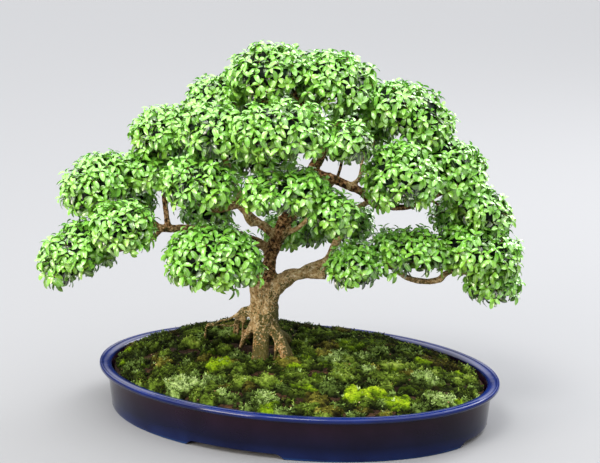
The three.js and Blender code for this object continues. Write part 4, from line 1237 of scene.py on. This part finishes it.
# Leaves of all shoots in a layer, rank by rank: the first ones stand lowest and are oldest.
def leafFrames(places, ways, buried, layer, dice):
    number = len(places)
    upturn = dice.uniform(*shootShape["upturn"], number)
    shoot = unit(ways + upturn[:, None] * [0, 0, 1])
    side = unit(np.cross(shoot, [0.31, 0.95, 0.05]))    # any direction that no shoot points in
    other = np.cross(shoot, side)
    few, many = layer["leaves"]
    counts = dice.integers(few, many + 1, number)
    spin = dice.uniform(0, 2 * math.pi, number)
    # painted light and shade: shoots that face up are made younger and lighter, those deep in the creases
    # older and darker
    shootAgeAndShading = layer["age"] - leafTone["upFacingLight"] * ways[:, 2] + dice.normal(0, leafTone["ageSpread"], number)
    shootAgeAndShading += leafTone["creaseShade"] * buried
    # painted light: shoots that hang down turn yellower, a painted glow of light shining through them, on
    # top of a random warmth
    sunless = leafTone["warmthAndGlow"] - leafTone["hangingGlow"] * ways[:, 2]
    sunless = np.clip(sunless + dice.normal(0, leafTone["shootSpread"], number), 0, 1)
    short, long = leafShape["length"]
    low, high = layer["rise"]
    columns = []
    for k in range(many):
        rank = k / (counts - 1)
        turn = spin + k * shootShape["goldenTurn"] + dice.normal(0, 0.16, number)
        rise = low + (high - low) * rank + dice.normal(0, 0.16, number)
        radial = np.cos(turn)[:, None] * side + np.sin(turn)[:, None] * other
        along = np.cos(rise)[:, None] * radial + np.sin(rise)[:, None] * shoot
        along[:, 2] -= shootShape["droop"] * (1 - rank)
        along = unit(along)
        up = unit(shoot - along * (shoot * along).sum(axis=1, keepdims=True))
        roll = dice.normal(0, shootShape["roll"], number)[:, None]
        up = np.cos(roll) * up + np.sin(roll) * np.cross(along, up)
        stem = rank * shootShape["stem"] + shootShape["stemStart"]
        spots = places + shoot * stem[:, None] + radial * shootShape["stemRadius"]
        lengths = (long - (long - short) * rank ** 1.5) * dice.uniform(0.9, 1.08, number)
        agesAndShading = shootAgeAndShading + leafTone["lowAge"] * (1 - rank) ** 1.3
        agesAndShading += dice.normal(0, leafTone["ageSpread"], number)
        warmthAndGlow = sunless + dice.normal(0, leafTone["leafSpread"], number)
        on = k < counts
        columns.append([values[on] for values in (spots, along, up, lengths, agesAndShading, warmthAndGlow)])
    return [np.concatenate(column) for column in zip(*columns)]


def turnToPot(vectors):
    x, y = turned(vectors[:, 0], vectors[:, 1], treeTurn)
    return np.stack([x, y, vectors[:, 2]], axis=1)


def addLeaves(name, model, frames):
    shaped, faces, uv = model
    spots, alongs, ups, lengths, agesAndShading, warmthAndGlow = frames
    alongs, ups = turnToPot(alongs), turnToPot(ups)
    acrosses = np.cross(alongs, ups)
    points = treePoints(spots)[:, None, :] + (lengths * mm)[:, None, None] * (
        shaped[None, :, 0:1] * acrosses[:, None, :] + shaped[None, :, 1:2] * alongs[:, None, :]
        + shaped[None, :, 2:3] * ups[:, None, :])
    leaves = addCopies(name, points, faces)
    layer = leaves.data.uv_layers.new(name="leafUV")
    layer.data.foreach_set("uv", np.tile(uv, (len(spots), 1)).ravel())
    paintPoints(leaves.data, "leafAge", np.repeat(np.clip(agesAndShading, 0, 1), len(shaped)))
    paintPoints(leaves.data, "leafWarmth", np.repeat(np.clip(warmthAndGlow, 0, 1), len(shaped)))
    return leaves


def addHeart(name, middle, half, tilt):
    deselectAll()
    bpy.ops.mesh.primitive_ico_sphere_add(subdivisions=3, radius=1)
    heart = startPiece(name)
    points = readPoints(heart.data)
    start = Vector((middle[0], 0, 0))
    lumps = np.array([noise.noise(Vector(p) * heartShape["lumpSize"] + start) for p in points])
    room = np.array(half) - shootShape["leafReach"] - heartShape["room"]
    shaped = points * room * (1 + heartShape["lumps"] * lumps[:, None])
    shaped[:, 2] = np.where(shaped[:, 2] < 0, shaped[:, 2] * heartShape["flatBelow"], shaped[:, 2])
    writePoints(heart.data, treePoints(tilted(shaped, tilt) + np.array(middle)))
    return heart


# Fine twigs from the branch to the middle of each clump, and from there to the shoots.
def addPadTwigs(name, twig, centres, places):
    shape = twigShape
    start = np.array(twig[-1])[:3]
    lines = []
    for centre in centres:
        knee = 0.5 * (start + centre) - [0, 0, shape["sag"]]
        rows = [[*start, shape["start"]], [*knee, shape["knee"]], [*centre, shape["clump"]]]
        lines.append(smoothLine(rows, shape["step"]))
    for place in places[::shape["every"]]:
        centre = centres[np.argmin(np.linalg.norm(centres - place, axis=1))]
        lines.append(np.array([[*centre, shape["fork"]], [*place, shape["tip"]]]))
    return growTube(name, lines, 0)


def addFoliage():
    dice = np.random.default_rng(11)
    model = modelLeaf()
    leafGreen, twigBrown, heartDark = leafMaterial(), twigMaterial(), heartMaterial()
    twigs = twigLines()
    total = 0
    for name, (middle, half, tilt) in pads.items():
        centres, radii = padClumps(middle, half, tilt, dice)
        tips, ways = padShoots(centres, radii, middle, dice)
        buried = buriedShare(tips, middle, half, tilt)
        outer = leafFrames(tips, ways, buried, shootShape["outer"], dice)
        places, facing = padFiller(centres, radii, middle, half, tilt, dice)
        buried = buriedShare(places, middle, half, tilt)
        filler = leafFrames(places, facing, buried, shootShape["filler"], dice)
        frames = [np.concatenate(both) for both in zip(outer, filler)]
        leaves = addLeaves("leaves_" + name, model, frames)
        finishPiece(leaves, [leafGreen], "leaves", "foliage_" + name)
        finishPiece(addHeart("heart_" + name, middle, half, tilt), [heartDark], "leaves")
        thin = addPadTwigs("twigs_" + name, twigs[name], centres, tips)
        finishPiece(thin, [twigBrown], "bark")
        total += len(frames[0])
    print("leaves in all", total)


addFoliage()


# Drain screens: moulded polythene mesh, dull and nearly hidden. They keep their solids.
def addScreens():
    material, tree, shader = newMaterial("black polythene mesh")
    setInputs(tree, shader, {"Base Color": hexColour("#1c1c1e"), "Roughness": 0.55})
    for node in ("drain_screen_left", "drain_screen_right"):
        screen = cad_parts[node]
        screen.data.materials.clear()
        screen.data.materials.append(material)


addScreens()

print("all pieces made")
